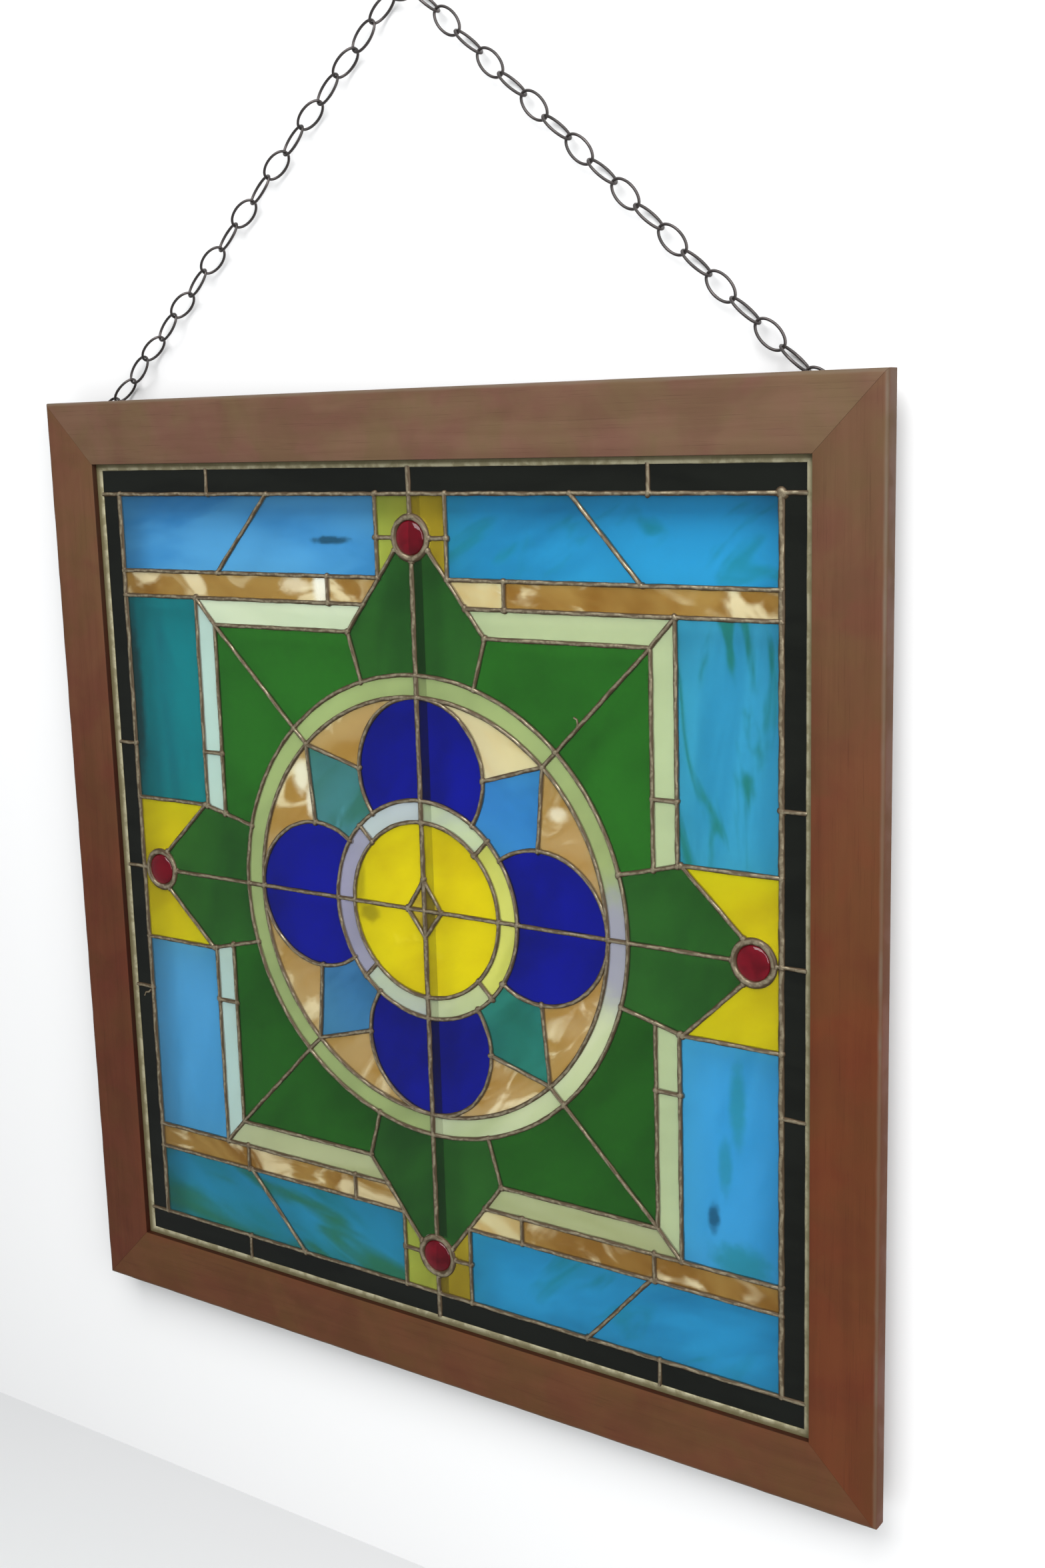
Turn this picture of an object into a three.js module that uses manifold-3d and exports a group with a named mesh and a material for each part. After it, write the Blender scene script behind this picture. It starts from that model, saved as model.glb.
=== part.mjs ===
// Stained glass window panel in a mitred wooden frame, hung on a V of oval-link chain.
// Millimetres, +Z up, the front faces -Y. The origin is the hanging point: the inside top
// of the chain's top link, where a nail or hook carries it.
import * as THREE from "three";
import { mergeVertices } from "three/addons/utils/BufferGeometryUtils.js";
import Module from "manifold-3d";

const wasm = await Module();
wasm.setup();

// ---- Frame ----
const FRAME_WIDTH = 1080;
const FRAME_HEIGHT = 1120;
const FRAME_DEPTH = 19;
const RAIL_WIDTH = 73;
const OUTER_ARRIS = 4.5; // rounding of the front outer edge
const INNER_ARRIS = 1.2; // small bevel on the front inner edge
const FRAME_BACK = -13; // Y of the frame's back, clear of the hanging links
const FRAME_FRONT = FRAME_BACK - FRAME_DEPTH;
const FRAME_TOP = -402; // Z of the top edge, below the hanging point
const GROOVE_DEPTH = 8;
const FIT = 0.3; // gap between touching pieces

// ---- Glass panel ----
const CENTRE_Z = FRAME_TOP - FRAME_HEIGHT / 2;
const PANEL_FRONT = FRAME_FRONT + 7.5;
const PANEL_THICK = 6; // over the solder beads
const PANEL_MID = PANEL_FRONT + PANEL_THICK / 2;
const GLASS_THICK = 3;
const PANEL_HALF_X = 473; // out to the edge of the metal channel
const PANEL_HALF_Z = 493;
const GLASS_HALF_X = 457; // out to the edge of the border glass
const GLASS_HALF_Z = 480;
const SEAM = 4.4; // width of an ordinary solder line
const SPINE_SEAM = 6; // width of the upright middle line

// ---- Pattern, measured from the panel's centre ----
const BORDER_X = 433; // inner edge of the black border
const BORDER_Z = 452;
const AMBER_TOP_Z = 363; // blue strip above, amber strip below
const SQUARE_X = 319; // outer edge of the pale square
const SQUARE_Z = 333.5;
const FIELD_X = 291; // inner edge of the pale square
const FIELD_Z = 303;
const RING_OUT = 260;
const RING_IN = 236;
const HUB_OUT = 123;
const HUB_IN = 99;
const PETAL_R = 84;
const PETAL_AT = 152;
const JEWEL_AT_Z = 406;
const JEWEL_AT_X = 403;
const JEWEL_R = 18.5;
const JEWEL_RIM_R = 25.5;
const JEWEL_BULGE = 5.5;
const STAR_Z = [92, 303]; // shoulder of the upper and lower star points
const STAR_Z_FOOT = [76, 248.6]; // where its short edge meets the ring
const STAR_Z_TIP = 421;
const STAR_X = [323, 88]; // shoulder of the side star points
const STAR_X_FOOT = [250.4, 70];
const STAR_X_TIP = 416;
const NECK_X = 46.5; // half width of the small yellow panes round the upper jewel
const QUAD_TIP = [160.25, 173.25]; // where the corner kite meets the ring
const DIAMOND = { side: 23, up: 35, down: 31 };

// ---- Sides that stand for each round line ----
const RING_SIDES = 28;
const HUB_SIDES = 20;
const PETAL_SIDES = 16;
const JEWEL_SIDES = 12;
const EYE_SIDES = 8;

// ---- Chain and its screw eyes ----
const WIRE = 3;
const LINK_WIDTH = 24; // outside
const LINKS = 18; // in each strand
const EYE_X = 476;
const EYE_DOWN = 25; // below the frame's top edge
const EYE_HOLE_R = 4.5;
const SHANK_IN_WOOD = 12;

// ---- Reinforcing bar behind the glass ----
const BAR_WIDTH = 12;
const BAR_THICK = 5;
const BAR_X = 2;
const BAR_IN_RAIL = 12;

// ---------- solids ----------
function toSolid(geometry) {
  const g = geometry.clone();
  g.deleteAttribute("normal");
  g.deleteAttribute("uv");
  const m = mergeVertices(g, 1e-4);
  const mesh = new wasm.Mesh({
    numProp: 3,
    vertProperties: new Float32Array(m.attributes.position.array),
    triVerts: new Uint32Array(m.index.array),
  });
  return new wasm.Manifold(mesh);
}

function toGeometry(solid) {
  const mesh = solid.getMesh();
  const g = new THREE.BufferGeometry();
  const positions = new Float32Array(mesh.numVert * 3);
  for (let i = 0; i < mesh.numVert; i += 1) {
    for (let k = 0; k < 3; k += 1) {
      positions[i * 3 + k] = mesh.vertProperties[i * mesh.numProp + k];
    }
  }
  g.setAttribute("position", new THREE.BufferAttribute(positions, 3));
  g.setIndex(new THREE.BufferAttribute(new Uint32Array(mesh.triVerts), 1));
  const flat = g.toNonIndexed();
  flat.computeVertexNormals();
  return flat;
}

function joined(solids) {
  let level = solids;
  while (level.length > 1) {
    const next = [];
    for (let i = 0; i < level.length; i += 2) {
      next.push(i + 1 < level.length ? level[i].add(level[i + 1]) : level[i]);
    }
    level = next;
  }
  return level[0];
}

// A flat plate: an outline in the XZ plane, given from the panel's centre, standing
// between two Y positions. Holes are further outlines.
function plateGeometry(outline, yFront, yBack, holes = []) {
  const shape = new THREE.Shape(outline.map(([x, z]) => new THREE.Vector2(x, z)));
  for (const hole of holes) {
    shape.holes.push(new THREE.Path(hole.map(([x, z]) => new THREE.Vector2(x, z))));
  }
  const g = new THREE.ExtrudeGeometry(shape, { depth: yBack - yFront, bevelEnabled: false });
  g.rotateX(Math.PI / 2);
  g.translate(0, yBack, 0);
  return g;
}

function plate(outline, yFront, yBack, holes = []) {
  return toSolid(plateGeometry(outline, yFront, yBack, holes));
}

function box(x0, x1, y0, y1, z0, z1) {
  const g = new THREE.BoxGeometry(x1 - x0, y1 - y0, z1 - z0);
  g.translate((x0 + x1) / 2, (y0 + y1) / 2, (z0 + z1) / 2);
  return toSolid(g);
}

function circle(cx, cz, r, segments, turn = 0) {
  const points = [];
  for (let i = 0; i < segments; i += 1) {
    const a = turn + (2 * Math.PI * i) / segments;
    points.push([cx + r * Math.cos(a), cz + r * Math.sin(a)]);
  }
  return points;
}

function bar(from, to, width, extend) {
  const dx = to[0] - from[0];
  const dz = to[1] - from[1];
  const length = Math.hypot(dx, dz);
  const ux = dx / length;
  const uz = dz / length;
  const a = [from[0] - ux * extend, from[1] - uz * extend];
  const b = [to[0] + ux * extend, to[1] + uz * extend];
  const h = width / 2;
  return [
    [a[0] + uz * h, a[1] - ux * h],
    [b[0] + uz * h, b[1] - ux * h],
    [b[0] - uz * h, b[1] + ux * h],
    [a[0] - uz * h, a[1] + ux * h],
  ];
}

// ---------- the solder lines ----------
const SIGNS = [-1, 1];
const QUADRANTS = SIGNS.flatMap((sx) => SIGNS.map((sz) => [sx, sz]));

// Lines between pieces that are separate parts: [from, to].
function mainLines() {
  const lines = [];
  for (const s of SIGNS) {
    lines.push([[s * BORDER_X, -BORDER_Z], [s * BORDER_X, BORDER_Z]]);
    lines.push([[-GLASS_HALF_X, s * BORDER_Z], [GLASS_HALF_X, s * BORDER_Z]]);
    lines.push([[s * JEWEL_AT_X, 0], [s * BORDER_X, 0]]);
  }
  const starSlope = (STAR_Z_TIP - STAR_Z[1]) / STAR_Z[0];
  const atSquare = (STAR_Z_TIP - SQUARE_Z) / starSlope;
  const sideSlope = (STAR_X[1] - STAR_X_FOOT[1]) / (STAR_X[0] - STAR_X_FOOT[0]);
  const atField = STAR_X[1] - (STAR_X[0] - FIELD_X) * sideSlope;
  for (const [sx, sz] of QUADRANTS) {
    const p = (x, z) => [sx * x, sz * z];
    lines.push([p(NECK_X, AMBER_TOP_Z), p(BORDER_X, AMBER_TOP_Z)]);
    lines.push([p(atSquare, SQUARE_Z), p(BORDER_X, SQUARE_Z)]);
    lines.push([p(NECK_X, AMBER_TOP_Z - 2), p(NECK_X, BORDER_Z)]);
    lines.push([p(...STAR_Z), p(4, STAR_Z_TIP - 4 * starSlope)]);
    lines.push([p(...STAR_Z), p(...STAR_Z_FOOT)]);
    lines.push([p(STAR_Z[0], FIELD_Z), p(FIELD_X, FIELD_Z)]);
    lines.push([p(FIELD_X, FIELD_Z), p(FIELD_X, atField)]);
    lines.push([p(SQUARE_X, SQUARE_Z), p(SQUARE_X, STAR_X[1])]);
    lines.push([p(...STAR_X), p(BORDER_X, STAR_X[1])]);
    lines.push([p(...STAR_X), p(STAR_X_TIP, 0)]);
    lines.push([p(...STAR_X), p(...STAR_X_FOOT)]);
  }
  return lines;
}

// Joints inside a part, where two panes of one colour meet: [from, to, width].
function jointLines() {
  const lines = [];
  lines.push([[0, -GLASS_HALF_Z], [0, GLASS_HALF_Z], SPINE_SEAM]);
  lines.push([[-GLASS_HALF_X, 0], [GLASS_HALF_X, 0], SEAM]);
  for (const [sx, sz] of QUADRANTS) {
    const p = (x, z) => [sx * x, sz * z];
    const add = (from, to) => lines.push([p(...from), p(...to), SEAM]);
    add([291, BORDER_Z], [291, GLASS_HALF_Z]);
    add([BORDER_X, 154], [GLASS_HALF_X, 154]);
    add([201, BORDER_Z], [282, AMBER_TOP_Z]);
    add([118, SQUARE_Z], [118, AMBER_TOP_Z]);
    add([SQUARE_X, SQUARE_Z], QUAD_TIP);
    add([FIELD_X, 152], [SQUARE_X, 152]);
    add(QUAD_TIP, [PETAL_R, PETAL_AT]);
    add(QUAD_TIP, [PETAL_AT, PETAL_R]);
    add([HUB_IN * Math.SQRT1_2, HUB_IN * Math.SQRT1_2], [HUB_OUT * Math.SQRT1_2, HUB_OUT * Math.SQRT1_2]);
    add([NECK_X, JEWEL_AT_Z], [JEWEL_RIM_R - 3, JEWEL_AT_Z]);
    lines.push([[0, sz > 0 ? DIAMOND.up : -DIAMOND.down], [sx * DIAMOND.side, 0], SEAM]);
  }
  for (const s of SIGNS) {
    lines.push([[s * 286, -SQUARE_Z], [s * 286, -AMBER_TOP_Z], SEAM]);
  }
  return lines;
}

const JEWELS = [
  ["top", 0, JEWEL_AT_Z],
  ["bottom", 0, -JEWEL_AT_Z],
  ["left", -JEWEL_AT_X, 0],
  ["right", JEWEL_AT_X, 0],
];

// Every line that parts two separate pieces, as one solid.
function mainRibs(width, yFront, yBack) {
  const h = width / 2;
  const solids = mainLines().map(([a, b]) => plate(bar(a, b, width, 1), yFront, yBack));
  for (const [sx, sz] of QUADRANTS) {
    solids.push(plate(circle(sx * FIELD_X, sz * FIELD_Z, h * Math.SQRT2, 4, Math.PI / 4), yFront, yBack));
  }
  const rings = [
    [RING_OUT, RING_SIDES],
    [RING_IN, RING_SIDES],
    [HUB_OUT, HUB_SIDES],
    [HUB_IN, HUB_SIDES],
  ];
  for (const [r, n] of rings) {
    solids.push(plate(circle(0, 0, r + h, n), yFront, yBack, [circle(0, 0, r - h, n)]));
  }
  const hub = plate(circle(0, 0, HUB_OUT, HUB_SIDES), yFront - 1, yBack + 1);
  for (let q = 0; q < 4; q += 1) {
    const a = (q * Math.PI) / 2;
    const cx = PETAL_AT * Math.cos(a);
    const cz = PETAL_AT * Math.sin(a);
    const outside = circle(cx, cz, PETAL_R + h, PETAL_SIDES);
    const inside = circle(cx, cz, PETAL_R - h, PETAL_SIDES);
    const petal = plate(outside, yFront, yBack, [inside]);
    solids.push(petal.subtract(hub));
  }
  return joined(solids);
}

function jewelDiscs(radius, yFront, yBack) {
  return joined(JEWELS.map(([, x, z]) => plate(circle(x, z, radius, JEWEL_SIDES), yFront, yBack)));
}

const glassFront = PANEL_MID - GLASS_THICK / 2;
const glassBack = PANEL_MID + GLASS_THICK / 2;

// The sheet of glass, cut along the lines and round the jewels.
function glassPieces() {
  const halfX = GLASS_HALF_X - FIT;
  const halfZ = GLASS_HALF_Z - FIT;
  const sheet = box(-halfX, halfX, glassFront, glassBack, -halfZ, halfZ);
  const cutter = mainRibs(SEAM + 2 * FIT, glassFront - 2, glassBack + 2);
  const holes = jewelDiscs(JEWEL_RIM_R + FIT, glassFront - 2, glassBack + 2);
  return sheet.subtract(cutter.add(holes)).decompose();
}

// The corners of a rectangle about the panel's middle, anticlockwise.
function rectangle(halfX, halfZ) {
  return [
    [-halfX, -halfZ],
    [halfX, -halfZ],
    [halfX, halfZ],
    [-halfX, halfZ],
  ];
}

function solderSolid() {
  const front = PANEL_FRONT;
  const back = PANEL_FRONT + PANEL_THICK;
  const opening = rectangle(GLASS_HALF_X, GLASS_HALF_Z).reverse();
  const channel = plate(rectangle(PANEL_HALF_X, PANEL_HALF_Z), front, back, [opening]);
  const ribs = mainRibs(SEAM, front, back);
  const collars = jewelDiscs(JEWEL_RIM_R, front, back);
  const beads = joined(jointLines().map(([a, b, w]) => plate(bar(a, b, w, 0), front, glassFront - FIT)));
  const sockets = jewelDiscs(JEWEL_R + FIT, front - 1, back + 1);
  return joined([channel, ribs, collars, beads]).subtract(sockets);
}

function jewelSolid(x, z) {
  const r = JEWEL_R;
  const profile = [
    [0, glassBack],
    [r, glassBack],
    [r, glassFront],
  ];
  const steps = 3;
  for (let i = 1; i < steps; i += 1) {
    const a = (i / steps) * (Math.PI / 2);
    profile.push([r * Math.cos(a), glassFront - JEWEL_BULGE * Math.sin(a)]);
  }
  profile.push([0, glassFront - JEWEL_BULGE]);
  const points = profile.map(([px, py]) => new THREE.Vector2(px, py)).reverse();
  const g = new THREE.LatheGeometry(points, JEWEL_SIDES);
  g.translate(x, 0, z);
  return toSolid(g);
}

// ---------- the wooden frame ----------
// Section of a rail: distance in from the outer edge, and Y.
function railSection() {
  const f = FRAME_FRONT;
  const b = FRAME_BACK;
  const grooveFront = PANEL_FRONT - FIT;
  const grooveBack = PANEL_FRONT + PANEL_THICK + FIT;
  const points = [
    [0, b],
    [RAIL_WIDTH, b],
    [RAIL_WIDTH, grooveBack],
    [RAIL_WIDTH - GROOVE_DEPTH, grooveBack],
    [RAIL_WIDTH - GROOVE_DEPTH, grooveFront],
    [RAIL_WIDTH, grooveFront],
    [RAIL_WIDTH, f + INNER_ARRIS],
    [RAIL_WIDTH - INNER_ARRIS, f],
  ];
  for (let i = 0; i <= 3; i += 1) {
    const a = (i / 3) * (Math.PI / 2);
    points.push([OUTER_ARRIS - OUTER_ARRIS * Math.sin(a), f + OUTER_ARRIS - OUTER_ARRIS * Math.cos(a)]);
  }
  return points;
}

// A rail along +X, its outer edge up, centred over the panel, cut to the mitres.
function railSolid(length, halfAcross) {
  const shape = new THREE.Shape(railSection().map(([w, y]) => new THREE.Vector2(y, halfAcross - w)));
  const g = new THREE.ExtrudeGeometry(shape, { depth: length, bevelEnabled: false });
  g.translate(0, 0, -length / 2);
  // Section X becomes Y, section Y becomes Z, and the extrusion becomes X.
  const turn = new THREE.Matrix4().makeBasis(
    new THREE.Vector3(0, 1, 0),
    new THREE.Vector3(0, 0, 1),
    new THREE.Vector3(1, 0, 0),
  );
  g.applyMatrix4(turn);
  const h = length / 2 - FIT / 2;
  const inner = halfAcross - RAIL_WIDTH;
  const outline = [
    [-h, halfAcross],
    [-h + RAIL_WIDTH, inner],
    [h - RAIL_WIDTH, inner],
    [h, halfAcross],
  ];
  const mitre = plate(outline, FRAME_FRONT - 1, FRAME_BACK + 1);
  return toSolid(g).intersect(mitre);
}

function turned(solid, angle) {
  return solid.rotate([0, angle, 0]);
}

// ---------- the chain ----------
const eyeAt = new THREE.Vector2(EYE_X, FRAME_TOP - EYE_DOWN);
const eyeReach = EYE_HOLE_R * Math.cos(Math.PI / EYE_SIDES); // from the hole's centre to its flats

// The right-hand strand: where it leaves the top link, its direction and its pitch.
function strandLine() {
  const holeHalf = LINK_WIDTH / 2 - WIRE;
  const start = new THREE.Vector2();
  const way = new THREE.Vector2(1, -1).normalize();
  let pitch = 34;
  for (let i = 0; i < 8; i += 1) {
    // The strand settles where the oval hole of the top link faces its pull squarely.
    const t = Math.atan2(-way.y * holeHalf, (way.x * pitch) / 2);
    start.set((pitch / 2) * Math.cos(t), -holeHalf - holeHalf * Math.sin(t));
    way.copy(eyeAt).sub(start).normalize();
    pitch = (eyeAt.distanceTo(start) - eyeReach) / LINKS;
  }
  return { pitch, start, way, slope: Math.atan2(-way.y, way.x) };
}

const STRAND = strandLine();
const LINK_LENGTH = STRAND.pitch + 2 * WIRE;

// One oval link lying in the XZ plane, long along X, centred on the origin.
function linkGeometry() {
  const oval = (a, b, endFlat, sideFlat) => [
    [a, -endFlat],
    [a, endFlat],
    [sideFlat, b],
    [-sideFlat, b],
    [-a, endFlat],
    [-a, -endFlat],
    [-sideFlat, -b],
    [sideFlat, -b],
  ];
  const a = LINK_LENGTH / 2;
  const b = LINK_WIDTH / 2;
  const inner = oval(a - WIRE, b - WIRE, 3.4, 7).reverse();
  return plateGeometry(oval(a, b, 4.6, 8.4), -WIRE / 2, WIRE / 2, [inner]);
}

// A strand of links, each turned about a quarter against the one before. Neighbours bite
// into one another by a hair, so the strand is one body.
function strandSolid(side) {
  const bite = 0.35;
  const drift = side < 0 ? 34 : 9;
  const step = (STRAND.pitch * LINKS + 2 * FIT - STRAND.pitch) / (LINKS - 1);
  const stretch = (step - bite + 2 * WIRE) / LINK_LENGTH;
  const links = [];
  for (let i = 0; i < LINKS; i += 1) {
    const roll = (i % 2 === 0 ? 90 : 0) + drift * Math.sin((Math.PI * (i + 1)) / LINKS);
    const along = STRAND.pitch / 2 - FIT + step * i;
    const g = linkGeometry();
    g.scale(stretch, 1, 1);
    g.rotateX((roll * Math.PI) / 180);
    g.rotateY(STRAND.slope);
    g.translate(STRAND.start.x + STRAND.way.x * along, 0, STRAND.start.y + STRAND.way.y * along);
    if (side < 0) {
      g.rotateZ(Math.PI);
    }
    links.push(toSolid(g));
  }
  return joined(links);
}

function topLinkSolid() {
  const g = linkGeometry();
  g.translate(0, 0, -(LINK_WIDTH / 2 - WIRE));
  return toSolid(g);
}

// A screw eye, its ring in the plane of the rail's normal and the chain's pull.
function screwEyeSolid(side) {
  const turn = Math.PI / EYE_SIDES;
  const outline = circle(0, 0, EYE_HOLE_R + WIRE, EYE_SIDES, turn);
  const ring = new THREE.Shape(outline.map(([a, b]) => new THREE.Vector2(a, b)));
  const hole = circle(0, 0, EYE_HOLE_R, EYE_SIDES, turn);
  ring.holes.push(new THREE.Path(hole.map(([a, b]) => new THREE.Vector2(a, b))));
  const g = new THREE.ExtrudeGeometry(ring, { depth: WIRE, bevelEnabled: false });
  g.translate(0, 0, -WIRE / 2);
  const pull = new THREE.Vector3(STRAND.way.x * side, 0, STRAND.way.y);
  const outward = new THREE.Vector3(0, 1, 0);
  const normal = new THREE.Vector3().crossVectors(pull, outward);
  g.applyMatrix4(new THREE.Matrix4().makeBasis(pull, outward, normal));
  const from = FRAME_BACK - SHANK_IN_WOOD;
  const to = -EYE_HOLE_R - WIRE * 0.6;
  const shank = new THREE.CylinderGeometry(WIRE / 2, WIRE / 2, to - from, 6);
  shank.translate(0, (from + to) / 2, 0);
  const eye = toSolid(g).add(toSolid(shank));
  return eye.translate([side * EYE_X, 0, FRAME_TOP - EYE_DOWN]);
}

// ---------- materials ----------
function finish(color, roughness, metalness, opacity = 1) {
  return new THREE.MeshStandardMaterial({ color, roughness, metalness, transparent: opacity < 1, opacity });
}

const MATERIALS = {
  wood: finish(0x6a3a26, 0.45, 0),
  solder: finish(0x7a6a50, 0.5, 0.8),
  bar: finish(0x3c3934, 0.6, 0.7),
  chain: finish(0x48423f, 0.45, 0.8),
  black: finish(0x232323, 0.25, 0),
  blue: finish(0x3c8ccf, 0.3, 0),
  teal: finish(0x1f8496, 0.3, 0),
  amber: finish(0xc8923f, 0.3, 0),
  pale: finish(0xbdd5ac, 0.3, 0),
  green: finish(0x2a6a28, 0.3, 0),
  yellow: finish(0xdccf18, 0.3, 0),
  ring: finish(0xabc080, 0.3, 0),
  cobalt: finish(0x14208f, 0.25, 0),
  spandrel: finish(0xc09a58, 0.3, 0),
  hub: finish(0xb9bfae, 0.3, 0),
  ruby: finish(0x8c1030, 0.15, 0),
};

// ---------- names of the glass parts ----------
// [name, material, x, z] of a point inside each part, from the panel's centre.
function glassNames() {
  const names = [];
  const row = { 1: "upper", "-1": "lower" };
  const column = { 1: "right", "-1": "left" };
  const level = { 1: "top", "-1": "bottom" };
  for (const s of SIGNS) {
    names.push([`border_${level[s]}`, "black", 40, s * 466]);
    names.push([`border_${column[s]}`, "black", s * 445, 40]);
    names.push([`star_${level[s]}`, "green", 20, s * 300]);
    names.push([`star_${column[s]}`, "green", s * 310, 20]);
    names.push([`yellow_${level[s]}`, "yellow", 35, s * 440]);
    names.push([`petal_${level[s]}`, "cobalt", 20, s * 170]);
    names.push([`petal_${column[s]}`, "cobalt", s * 170, 20]);
  }
  for (const [sx, sz] of QUADRANTS) {
    const where = `${row[sz]}_${column[sx]}`;
    names.push([`blue_strip_${where}`, "blue", sx * 150, sz * 400]);
    names.push([`amber_strip_${where}`, "amber", sx * 200, sz * 350]);
    names.push([`blue_panel_${where}`, sx < 0 && sz > 0 ? "teal" : "blue", sx * 370, sz * 200]);
    names.push([`pale_corner_${where}`, "pale", sx * 305, sz * 200]);
    names.push([`green_field_${where}`, "green", sx * 250, sz * 230]);
    names.push([`yellow_side_${where}`, "yellow", sx * 415, sz * 70]);
    names.push([`spandrel_${where}`, "spandrel", sx * 125, sz * 125]);
  }
  names.push(["outer_ring", "ring", 240, 60]);
  names.push(["inner_ring", "hub", 100, 50]);
  names.push(["centre_disc", "yellow", 50, 40]);
  return names;
}

// ---------- assembly ----------
const root = new THREE.Group();
root.name = "stained_glass_window";

function put(name, material, solid, lift) {
  const mesh = new THREE.Mesh(toGeometry(solid), MATERIALS[material]);
  mesh.name = name;
  mesh.position.z = lift;
  root.add(mesh);
}

const topBottom = railSolid(FRAME_WIDTH, FRAME_HEIGHT / 2);
const leftRight = railSolid(FRAME_HEIGHT, FRAME_WIDTH / 2);
const slotBack = FRAME_BACK + 1;
const slotFront = PANEL_FRONT + PANEL_THICK + FIT - 0.01;
const barEnd = FRAME_HEIGHT / 2 - RAIL_WIDTH + BAR_IN_RAIL;
const slot = box(
  BAR_X - BAR_WIDTH / 2 - FIT,
  BAR_X + BAR_WIDTH / 2 + FIT,
  slotFront,
  slotBack,
  -barEnd - FIT,
  barEnd + FIT,
);
const pilots = joined(SIGNS.map((s) => {
  const g = new THREE.CylinderGeometry(WIRE / 2 + FIT, WIRE / 2 + FIT, SHANK_IN_WOOD + 2, 6);
  g.translate(s * EYE_X, FRAME_BACK - SHANK_IN_WOOD / 2 + 1 - FIT, FRAME_HEIGHT / 2 - EYE_DOWN);
  return toSolid(g);
}));
put("frame_top", "wood", topBottom.subtract(slot).subtract(pilots), CENTRE_Z);
put("frame_bottom", "wood", turned(topBottom, 180).subtract(slot), CENTRE_Z);
put("frame_right", "wood", turned(leftRight, 90), CENTRE_Z);
put("frame_left", "wood", turned(leftRight, -90), CENTRE_Z);

const solder = solderSolid();
const solderParts = solder.decompose();
if (solderParts.length !== 1) {
  throw new Error(`the solder network is in ${solderParts.length} bodies`);
}
put("solder_lines", "solder", solder, CENTRE_Z);

const pieces = glassPieces();
const unused = new Set(pieces);
for (const [name, material, x, z] of glassNames()) {
  const probe = box(x - 0.5, x + 0.5, PANEL_MID - 0.5, PANEL_MID + 0.5, z - 0.5, z + 0.5);
  const found = pieces.filter((piece) => piece.intersect(probe).volume() > 0.1);
  if (found.length !== 1) {
    throw new Error(`${name} matches ${found.length} pieces`);
  }
  unused.delete(found[0]);
  put(name, material, found[0], CENTRE_Z);
}
for (const left of unused) {
  if (left.volume() > 60) {
    const b = left.boundingBox();
    throw new Error(`a pane has no name: ${left.volume()} at ${b.min} ${b.max}`);
  }
}

for (const [where, x, z] of JEWELS) {
  put(`jewel_${where}`, "ruby", jewelSolid(x, z), CENTRE_Z);
}

put(
  "reinforcing_bar",
  "bar",
  box(
    BAR_X - BAR_WIDTH / 2,
    BAR_X + BAR_WIDTH / 2,
    PANEL_FRONT + PANEL_THICK + FIT,
    PANEL_FRONT + PANEL_THICK + FIT + BAR_THICK,
    -barEnd,
    barEnd,
  ),
  CENTRE_Z,
);

put("top_link", "chain", topLinkSolid(), 0);
put("chain_left", "chain", strandSolid(-1), 0);
put("chain_right", "chain", strandSolid(1), 0);
put("screw_eye_left", "chain", screwEyeSolid(-1), 0);
put("screw_eye_right", "chain", screwEyeSolid(1), 0);

export default root;
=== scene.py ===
import math
import random

import bmesh
import bpy
from bpy.props import FloatProperty, FloatVectorProperty, PointerProperty
from bpy.types import Operator, Panel, PropertyGroup
from mathutils import Matrix, Vector


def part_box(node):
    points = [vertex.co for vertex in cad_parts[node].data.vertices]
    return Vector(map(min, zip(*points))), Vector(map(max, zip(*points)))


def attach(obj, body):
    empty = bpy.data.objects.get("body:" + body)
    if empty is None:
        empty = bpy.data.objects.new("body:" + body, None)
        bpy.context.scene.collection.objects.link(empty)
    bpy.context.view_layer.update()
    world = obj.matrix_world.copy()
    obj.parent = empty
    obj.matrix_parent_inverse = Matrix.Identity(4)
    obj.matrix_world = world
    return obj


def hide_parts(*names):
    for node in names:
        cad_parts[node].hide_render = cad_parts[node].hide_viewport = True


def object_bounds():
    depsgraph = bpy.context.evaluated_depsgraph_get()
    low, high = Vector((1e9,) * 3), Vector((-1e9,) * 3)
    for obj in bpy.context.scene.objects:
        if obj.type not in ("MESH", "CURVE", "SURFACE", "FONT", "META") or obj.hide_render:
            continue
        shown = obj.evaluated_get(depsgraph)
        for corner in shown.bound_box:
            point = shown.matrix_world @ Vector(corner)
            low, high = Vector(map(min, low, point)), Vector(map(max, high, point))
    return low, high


bl_info = {
    "name": "Stained glass window panel",
    "version": (1, 0, 0),
    "blender": (4, 5, 0),
    "location": "View3D > Sidebar > Window panel",
    "description": "A soldered stained glass panel in a wooden frame, hung on a chain",
    "category": "Object",
}

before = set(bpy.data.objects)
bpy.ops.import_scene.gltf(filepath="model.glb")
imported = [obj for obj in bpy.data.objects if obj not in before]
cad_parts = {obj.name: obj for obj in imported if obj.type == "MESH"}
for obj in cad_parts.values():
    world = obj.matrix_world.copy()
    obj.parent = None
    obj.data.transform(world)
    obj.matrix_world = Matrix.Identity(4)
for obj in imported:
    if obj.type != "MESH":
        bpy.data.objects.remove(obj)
CAD_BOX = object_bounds()

# Lengths below are millimetres. The pattern is given from the middle of the panel.
MM = 0.001


def span(node, axis):
    """Lowest and highest millimetre of a CAD node along one axis."""
    low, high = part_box(node)
    return low[axis] / MM, high[axis] / MM


FRAME_LEFT, FRAME_RIGHT = span("frame_left", 0)[0], span("frame_right", 0)[1]
FRAME_LOW, FRAME_TOP = span("frame_bottom", 2)[0], span("frame_top", 2)[1]
FRAME_FRONT, FRAME_BACK = span("frame_left", 1)
CENTRE_Z = (FRAME_LOW + FRAME_TOP) / 2
RAIL_WIDTH = 73
GROOVE_DEPTH = 8
INNER_ARRIS = 1.2

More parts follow.
